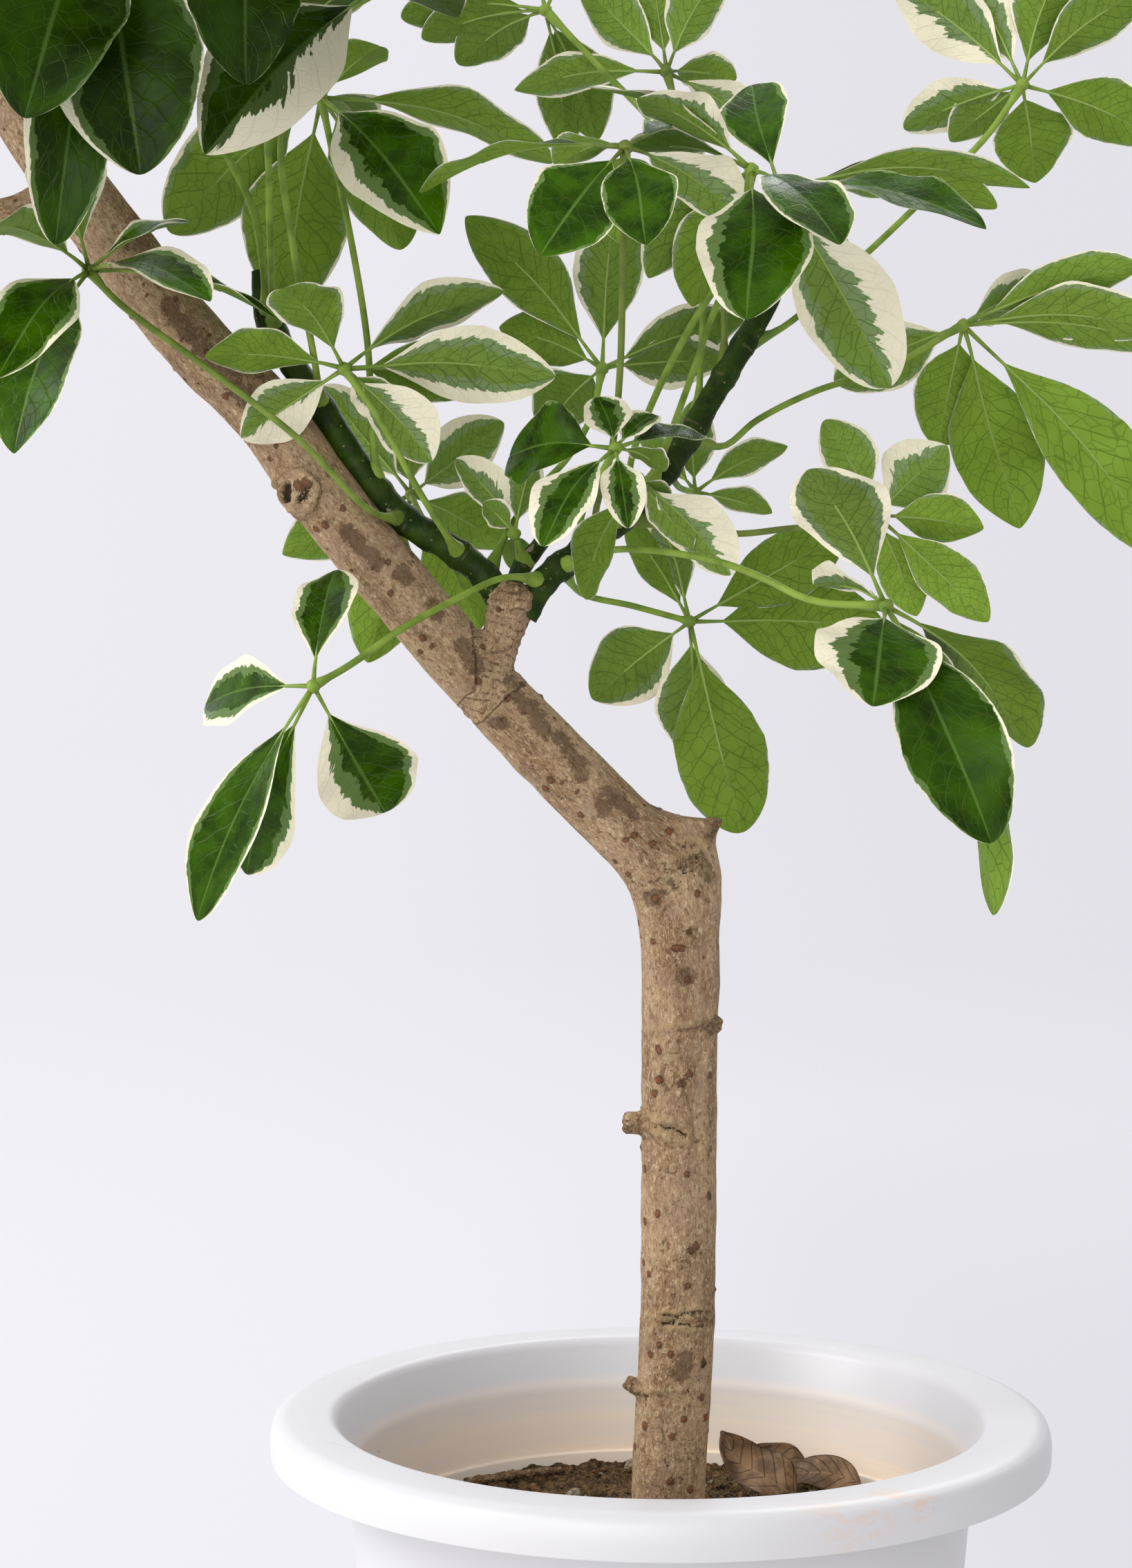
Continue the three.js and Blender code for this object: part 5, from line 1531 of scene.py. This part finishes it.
# Soil and what has dropped on it
SOIL_CELLS = 150  # along a side of the sheet that the soil's top is made from
TRUNK_CLEAR = 17  # no crumb lies nearer to the trunk's middle


def soil_height(x, y):
    """The same uneven level as the plain soil, with its mound round the trunk."""
    crumbs = 1.5 * math.sin(0.19 * x + 1) * math.cos(0.16 * y) + 0.9 * math.sin(0.31 * (x + y))
    from_trunk = math.hypot(x - TRUNK_FOOT_X, y)
    return SOIL_LEVEL + crumbs + 5 * math.exp(-((from_trunk / 32) ** 2))


def soil_relief(x, y):
    """Fine clods on top of the even soil."""
    place = Vector((x, y, 0))
    clods = noise.noise(place * 0.22) * 1.3 + noise.noise(place * 0.6) * 0.9
    return soil_height(x, y) + clods - 0.4 + max(noise.noise(place * 1.1), 0) * 0.9


def above_soil(bm):
    """Height of the lowest spot of a thing over the soil."""
    return min(v.co.z - soil_relief(v.co.x, v.co.y) for v in bm.verts)


def build_soil(crumbs):
    """Soil top with clods, a plain body below it, and loose crumbs, chips and grit on top."""
    dice = random.Random(7)
    bm = bmesh.new()
    reach = inner_radius(SOIL_EDGE) - LEDGE_WIDTH - SEAT_GAP
    made = bmesh.ops.create_grid(bm, x_segments=SOIL_CELLS, y_segments=SOIL_CELLS, size=1)["verts"]
    for vert in made:
        x, y = vert.co.x, vert.co.y
        side = reach * x * math.sqrt(1 - y * y / 2)
        ahead = reach * y * math.sqrt(1 - x * x / 2)
        vert.co = (side, ahead, soil_relief(side, ahead))
    rim = [edge for edge in bm.edges if edge.is_boundary]
    lower = bmesh.ops.extrude_edge_only(bm, edges=rim)["geom"]
    foot = inner_radius(POT_FLOOR) - LEDGE_WIDTH - SEAT_GAP
    for vert in (v for v in lower if isinstance(v, bmesh.types.BMVert)):
        way = Vector((vert.co.x, vert.co.y, 0)).normalized()
        vert.co = way * foot + UP * (POT_FLOOR + SEAT_GAP)
    bottom = [edge for edge in bm.edges if edge.is_boundary]
    bmesh.ops.contextual_create(bm, geom=bottom)
    for face in bm.faces:
        face.smooth = face.normal.z > 0.3
    for number in range(crumbs):
        away, turn = (reach - 4) * math.sqrt(dice.random()), dice.uniform(0, 2 * math.pi)
        x, y = away * math.cos(turn), away * math.sin(turn)
        if math.hypot(x - TRUNK_FOOT_X, y) < TRUNK_CLEAR:
            continue
        big = number % 9 == 0
        size = dice.uniform(1.7, 3.6) if big else dice.uniform(0.7, 1.9)
        crumb = bmesh.ops.create_icosphere(bm, subdivisions=2 if big else 1, radius=size)["verts"]
        squash = Vector((dice.uniform(0.6, 1.3), dice.uniform(0.6, 1.2), dice.uniform(0.4, 0.9)))
        turned = Quaternion((dice.gauss(0, 1), dice.gauss(0, 1), dice.gauss(0, 1), 1)).normalized()
        kind = dice.choice((1, 1, 1, 2, 2, 3)) if big else dice.choice((0, 0, 1, 1, 2, 3))
        spot = Vector((x, y, soil_relief(x, y) + 0.25 * size))
        for vert in crumb:
            bump = 1 + 0.3 * noise.noise(vert.co * 1.3 + Vector((number, 0, 0)))
            vert.co = turned @ (vert.co * bump * squash) + spot
            for face in vert.link_faces:
                face.material_index = kind
                face.smooth = big
    return bm


def earth_finish(name, dark, light, scale):
    """Crumbling earth or bark chips: a dark body with lighter grains and a tint of moss."""
    f = Finish(name)
    where = f.place()
    lumps = f.clouds(where, scale, 4.0, 0.7)
    grains = f.cells(where, scale * 2.6)
    colour = f.blend(f.ease(lumps, 0.38, 0.68), dark, light)
    colour = f.blend(f.ease(grains, 0.1, 0.5, 0.5, 0.0), colour, light)
    colour = f.layered(colour, (f.clouds(where, 38.0, 3.0), 0.56, 0.7, 0.35, rgb(84, 82, 40)))
    height = f.times(grains, -0.8, lumps)
    return f.coat(colour, 0.94, f.relief(height, 0.9, 0.0016), specular=0.2)


DRY_LEAVES = [  # name, spots of the midrib from foot to tip, width, curl, the way its face looks
    ("dry_leaf_1", [(58, 47, 201), (51, 47, 205), (43, 50, 209), (34, 56, 214), (28, 59, 225)],
     29, 0.9, (0.2, -0.75, 0.62)),
    ("dry_leaf_2", [(86, 60, 200), (79, 62, 203), (69, 64, 204.5), (59, 67, 203), (53, 68, 200)],
     17, 0.5, (0, -0.72, 0.7)),
    ("dry_leaf_3", [(38, 90, 203), (46, 88, 207), (56, 85, 208), (67, 82, 205)],
     17, 1.2, (0, -0.55, 0.8)),
]


def build_dry_leaf(name, spots, width, curl, facing):
    """A fallen leaflet, curled and crumpled, laid on the soil where the plain one lies."""
    bm = bmesh.new()
    bm.loops.layers.uv.new("blade")
    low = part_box(name)[0] / MM
    phase = random.Random(name).uniform(0, 6)
    rib = Stem(spots, [1] * len(spots))
    line = [rib.at(rib.share(mix(0.01, 0.999, i / ROWS))) for i in range(ROWS + 1)]

    def lay(vert, sign, u, row):
        part = row / ROWS
        along = (line[min(row + 1, ROWS)] - line[max(row - 1, 0)]).normalized()
        across = along.cross(Vector(facing)).normalized()
        up = across.cross(along)
        half = width / 2 * max(math.sin(math.pi * min(part * 1.02, 1) ** 0.95), 0.0) ** 0.75
        bend = curl * 1.3 * u
        crumple = noise.noise(Vector((part * 3.4, u * 1.3, phase))) * 0.2 * width
        ripple = 0.06 * width * math.sin(9 * part + phase + 2 * u) * u * u
        place = line[row] + across * (half * math.sin(bend) / (curl * 1.3))
        place += up * (half * 0.7 * (1 - math.cos(bend)) + ripple)
        place += up * (crumple * (0.25 + 0.75 * abs(u)) * min(1, 5 * part, 5 * (1 - part)))
        place += up * (sign * 0.3 * (1 - u * u) * min(1, 6 * part, 6 * (1 - part)))
        vert.co = place
        return part

    two_skins(bm, (0, 0), lay)
    back = (line[0] - line[3]).normalized()
    stalk = [line[0] + back * away for away in (3.5, 2, 0.5, -2)]
    tube(bm, stalk, [0.8, 0.7, 0.7, 0.4], sides=7)
    gap = above_soil(bm)
    for vert in bm.verts:
        vert.co.z -= min(gap + 0.9, 2)
        vert.co.z = max(vert.co.z, low.z - 1.5)
    return bm


def dry_leaf_finish():
    """Dead brown leaf with dark veins, a pale rib and darker edges."""
    f = Finish("dry_leaf")
    u, v = f.blade_place()
    out = f.maths("ABSOLUTE", u)
    mottle = f.clouds(f.place(), 90.0, 4.0, 0.65)
    veins = f.stripes(f.times(f.times(out, -0.25, v), 7.0), 0.07)
    colour = f.blend(f.ease(mottle, 0.35, 0.66), rgb(88, 66, 44), rgb(142, 112, 80))
    colour = f.blend(f.times(veins, 0.45), colour, rgb(64, 40, 24))
    colour = f.blend(f.ease(out, 0.02, 0.06, 0.45, 0.0), colour, rgb(150, 120, 86))
    colour = f.layered(colour, (out, 0.86, 1.0, 0.4, rgb(60, 38, 22)))
    height = f.times(veins, 0.7, mottle)
    return f.coat(colour, 0.6, f.relief(height, 0.8, 0.0012), specular=0.35)


TWIG_LINE = [(-78, 70, 203), (-58, 78, 204), (-38, 90, 203)]
TWIG_ROWS = 46
TWIG_JOINT = 15  # rows from one knob to the next


def build_twig():
    """A bit of dead twig with knobbly joints."""
    line = Stem(TWIG_LINE, [2, 1.8, 1.4])
    points = [line.at(i / TWIG_ROWS) for i in range(TWIG_ROWS + 1)]
    radii = []
    for i in range(TWIG_ROWS + 1):
        knobs = math.exp(-(((i % TWIG_JOINT) - TWIG_JOINT // 2) / 1.6) ** 2) * 0.5
        radii.append(line.radius(i / TWIG_ROWS) * (0.9 + 0.08 * math.sin(i * 1.3)) + knobs)
    bm = bmesh.new()
    for vert in tube(bm, points, radii, sides=14):
        vert.co += vert.normal * 0.2 * noise.noise(vert.co * 0.8)
    bmesh.ops.translate(bm, verts=bm.verts, vec=(0, 0, -above_soil(bm) - 0.8))
    return bm


# Stage
FLOOR_PROFILE = [  # radius, height and rounding, in metres: flat, then up into a wall
    (0, 0, 0), (3.2, 0, 0), (4.2, 0.12, 0), (5, 0.55, 0), (5.5, 1.3, 0), (5.7, 2.4, 0), (5.7, 5.2, 0),
]
LAMPS = [  # name, place, what it is aimed at, width, share of the main lamp's power
    ("key_lamp", (-2.3, -0.5, 2.1), (-0.05, 0, 0.5), 1.7, 1),
    ("front_lamp", (-0.8, -2.8, 1.3), (0, 0, 0.5), 1.9, 0.5),
    ("back_lamp", (0.9, 2.2, 2.3), (0, 0, 0.5), 1.9, 0.45),
]


def light_studio(settings):
    """Even light from all round, stronger from the left, and three soft lamps."""
    world = bpy.data.worlds.new("studio")
    world.use_nodes = True
    w = Wiring(world.node_tree)
    way = w.node("ShaderNodeTexCoord").outputs["Generated"]
    slope = w.vector("DOT_PRODUCT", way, (-0.4, 0.02, -0.14), output="Value")
    background = w.nodes["Background"].inputs
    w.feed(background["Strength"], w.times(slope, settings.sky, settings.sky))
    w.feed(background["Color"], rgb(252, 251, 255))
    bpy.context.scene.world = world
    bpy.context.scene.view_settings.view_transform = "Standard"

    for name, place, target, size, share in LAMPS:
        light = bpy.data.lights.new(name, "AREA")
        light.shape = "DISK"
        light.size = size
        light.energy = settings.key * share
        lamp = add_object(name, light)
        lamp.location = place
        lamp.rotation_mode = "QUATERNION"
        lamp.rotation_quaternion = (Vector(target) - Vector(place)).to_track_quat("-Z", "Y")
        lamp.visible_camera = False


def floor_finish(settings):
    """A matt grey that glows by itself, less where the plant's painted soft shadow falls, and with
    painted light that is brighter on the left and dimmer on the right.
    """
    f = Finish("floor")
    f.coat(tuple(settings.floor), 0.85, specular=0.2)
    across, away, _ = f.split(f.place())
    # Painted shadow of the plant, to its right and near it.
    shadow = f.times(f.ease(across, -0.15, 0.35), f.ease(away, 3.2, 0.8))
    bare = f.times(f.times(shadow, -0.12, 1.0), settings.glow)
    # Painted light: the glow is brighter on the left and dimmer on the right, as if lit from the left.
    painted_side_light = f.times(f.ease(across, -2.4, 2.2, 1.07, 0.97), f.ease(across, -0.8, 0.8, 1.02, 0.965))
    f.feed(f.surface.inputs["Emission Color"], rgb(241, 240, 245))
    f.feed(f.surface.inputs["Emission Strength"], f.times(bare, painted_side_light))
    return f.material


def build_stage(settings):
    """A pale floor that sweeps up into a wall all round, soft lamps and the camera."""
    bm = turned_body(FLOOR_PROFILE, steps=64)
    bm.faces.ensure_lookup_table()
    if bm.faces[0].normal.z < 0:
        bmesh.ops.reverse_faces(bm, faces=bm.faces)
    mesh = mesh_of(bm, "floor", scale=1)
    mesh.materials.append(floor_finish(settings))
    floor = add_object("floor", mesh)
    floor.visible_diffuse = False
    light_studio(settings)

    eye = bpy.data.cameras.new("camera")
    eye.sensor_width = 36
    eye.lens = 36 * FOCAL_SHARE
    camera = add_object("camera", eye)
    camera.location = VIEWER * MM
    camera.rotation_euler = (math.radians(90), 0, 0)
    bpy.context.scene.camera = camera


# What a user can change
def colour_setting(name, description, colour):
    """A colour among the settings."""
    return bpy.props.FloatVectorProperty(
        name=name, description=description, default=colour, size=4, subtype="COLOR", min=0, max=1,
    )


class PlantLeafSettings(bpy.types.PropertyGroup):
    """Shape and colours of the leaflets."""

    fold: bpy.props.FloatProperty(
        name="Fold", description="Rise of a blade's edge over its half width", default=BLADE_FOLD,
        min=0, max=0.6,
    )
    wave: bpy.props.FloatProperty(
        name="Wave", description="Height of the margin's waves over the half width", default=0.09,
        min=0, max=0.4,
    )
    twist: bpy.props.FloatProperty(
        name="Twist", description="Largest turn of a blade about its midrib", default=0.35,
        subtype="ANGLE",
    )
    deep: colour_setting("Deep green", "Darker green of the upper side", rgb(29, 53, 0))
    cream: colour_setting("Cream", "Colour of the variegated margin", rgb(246, 240, 212))
    underside: colour_setting("Underside green", "Green of the lower side", rgb(144, 178, 60))


class PlantTrunkSettings(bpy.types.PropertyGroup):
    """Bark of the trunk."""

    warts: bpy.props.IntProperty(
        name="Warts", description="Number of small raised pores scattered over the bark", default=170,
        min=0, max=600,
    )
    colour: colour_setting("Bark", "Main colour of the bark", rgb(188, 158, 122))


class PlantPotSettings(bpy.types.PropertyGroup):
    """Pot and soil."""

    colour: colour_setting("Plastic", "Colour of the pot", rgb(206, 205, 207))
    flats: bpy.props.IntProperty(
        name="Flats", description="Number of flats that round the pot", default=144, min=24, max=256,
    )
    crumbs: bpy.props.IntProperty(
        name="Crumbs", description="Number of loose crumbs on the soil", default=900, min=0, max=2000,
    )


class PlantStageSettings(bpy.types.PropertyGroup):
    """Floor and light."""

    floor: colour_setting("Floor", "Colour of the floor and wall", rgb(98, 97, 101))
    glow: bpy.props.FloatProperty(
        name="Wall glow", description="Light that the floor and wall give by themselves", default=0.76,
        min=0, max=2,
    )
    sky: bpy.props.FloatProperty(
        name="Sky", description="Strength of the light from all round", default=1.02, min=0, max=5,
    )
    key: bpy.props.FloatProperty(
        name="Key lamp", description="Power of the main lamp", default=47, min=0, unit="POWER",
    )


# One operator for each piece or group of like pieces
class PLANT_OT_stage(bpy.types.Operator):
    """Make the floor, the lamps and the camera"""

    bl_idname = "plant.stage"
    bl_label = "Make stage"

    def execute(self, context):
        build_stage(context.scene.plant_stage)
        return {"FINISHED"}


class PLANT_OT_pot(bpy.types.Operator):
    """Turn the pot's wall, rim and bottom and drill its drains"""

    bl_idname = "plant.pot"
    bl_label = "Make pot"

    def execute(self, context):
        settings = context.scene.plant_pot
        mesh = drilled(turned_body(pot_profile(), settings.flats))
        if len(mesh.polygons) < POT_LEAST_FACES:
            raise RuntimeError("the pot's drains could not be cut")
        white = pot_finish(tuple(settings.colour))
        add_piece("pot_white", mesh, [white], "pot")
        return {"FINISHED"}


class PLANT_OT_soil(bpy.types.Operator):
    """Fill the pot with soil and scatter crumbs, chips and grit on it"""

    bl_idname = "plant.soil"
    bl_label = "Make soil"

    def execute(self, context):
        finishes = [
            earth_finish("soil", rgb(46, 34, 20), rgb(118, 92, 58), 320.0),
            earth_finish("bark_chip", rgb(70, 48, 28), rgb(138, 102, 66), 240.0),
            earth_finish("clod", rgb(40, 30, 18), rgb(102, 80, 52), 420.0),
            earth_finish("grit", rgb(120, 108, 88), rgb(176, 164, 140), 260.0),
        ]
        bm = build_soil(context.scene.plant_pot.crumbs)
        add_piece("soil_top", mesh_of(bm, "soil_top"), finishes, "soil")
        return {"FINISHED"}


class PLANT_OT_litter(bpy.types.Operator):
    """Lay dry leaves and a twig on the soil"""

    bl_idname = "plant.litter"
    bl_label = "Make litter"

    def execute(self, context):
        dry = dry_leaf_finish()
        for name, *shape in DRY_LEAVES:
            mesh = mesh_of(build_dry_leaf(name, *shape), f"{name}_curled")
            add_piece(f"{name}_curled", mesh, [dry], name)
        wood = earth_finish("dead_twig", rgb(92, 70, 50), rgb(150, 124, 94), 300.0)
        mesh = mesh_of(build_twig(), "twig_knobbly")
        add_piece("twig_knobbly", mesh, [wood], "twig")
        return {"FINISHED"}


class PLANT_OT_trunk(bpy.types.Operator):
    """Grow the bent trunk with its cut top, spur, stubs, scars and warts"""

    bl_idname = "plant.trunk"
    bl_label = "Make trunk"

    def execute(self, context):
        settings = context.scene.plant_trunk
        mesh = build_trunk(plan_stems()["trunk"], settings.warts)
        add_piece("trunk_bark", mesh, [bark_finish(tuple(settings.colour))], "trunk")
        return {"FINISHED"}


class PLANT_OT_shoots(bpy.types.Operator):
    """Grow the green shoots that carry the leaves"""

    bl_idname = "plant.shoots"
    bl_label = "Make shoots"

    def execute(self, context):
        stems = plan_stems()
        finish = shoot_finish()
        for name in ("stem_left", "stem_right", "stem_middle"):
            leaves = [pictured_leaf(leaf, stems) for leaf in LEAVES if leaf["stem"] == name]
            bm = build_shoot(stems[name], [leaf["path"][:2] for leaf in leaves])
            add_piece(f"{name}_green", mesh_of(bm, f"{name}_green"), [finish], name)
        return {"FINISHED"}


class PLANT_OT_leaves(bpy.types.Operator):
    """Spread every leaf: its stalk and its variegated leaflets"""

    bl_idname = "plant.leaves"
    bl_label = "Make leaves"

    def execute(self, context):
        settings = context.scene.plant_leaf
        stems = plan_stems()
        deep, below = tuple(settings.deep), tuple(settings.underside)
        cream = tuple(settings.cream)
        finishes = [
            blade_finish("leaf_upper", deep, rgb(60, 98, 0), rgb(112, 138, 78), cream, False),
            blade_finish("leaf_under", below, rgb(156, 192, 68), rgb(160, 184, 130), cream, True),
            stalk_finish("leaf_stalk"),
        ]
        leaves = [pictured_leaf(leaf, stems) for leaf in LEAVES]
        leaves += [crown_leaf(number, stems["trunk"]) for number in range(CROWN_LEAVES)]
        for leaf in leaves:
            bm = build_leaf(leaf, settings)
            name = f"{leaf['name']}_grown"
            add_piece(name, mesh_of(bm, name), finishes, leaf["name"])
        return {"FINISHED"}


class PLANT_PT_panel(bpy.types.Panel):
    """Lists the plant's sizes, colours and pieces"""

    bl_idname = "PLANT_PT_panel"
    bl_label = "Potted umbrella plant"
    bl_space_type = "VIEW_3D"
    bl_region_type = "UI"
    bl_category = "Plant"

    def draw(self, context):
        scene = context.scene
        for group in (scene.plant_stage, scene.plant_pot, scene.plant_trunk, scene.plant_leaf):
            box = self.layout.box()
            for name in group.__annotations__:
                box.prop(group, name)
        for operator in OPERATORS:
            self.layout.operator(operator.bl_idname)


SETTINGS = {
    "plant_stage": PlantStageSettings,
    "plant_pot": PlantPotSettings,
    "plant_trunk": PlantTrunkSettings,
    "plant_leaf": PlantLeafSettings,
}
OPERATORS = [
    PLANT_OT_stage, PLANT_OT_pot, PLANT_OT_soil, PLANT_OT_litter, PLANT_OT_trunk, PLANT_OT_shoots,
    PLANT_OT_leaves,
]


def register():
    for made in [*SETTINGS.values(), *OPERATORS, PLANT_PT_panel]:
        bpy.utils.register_class(made)
    for name, group in SETTINGS.items():
        setattr(bpy.types.Scene, name, bpy.props.PointerProperty(type=group))


def unregister():
    for name in SETTINGS:
        delattr(bpy.types.Scene, name)
    for made in reversed([*SETTINGS.values(), *OPERATORS, PLANT_PT_panel]):
        bpy.utils.unregister_class(made)


def main():
    register()
    bpy.ops.plant.stage()
    bpy.ops.plant.pot()
    bpy.ops.plant.soil()
    bpy.ops.plant.litter()
    bpy.ops.plant.trunk()
    bpy.ops.plant.shoots()
    bpy.ops.plant.leaves()


if __name__ == "__main__":
    main()
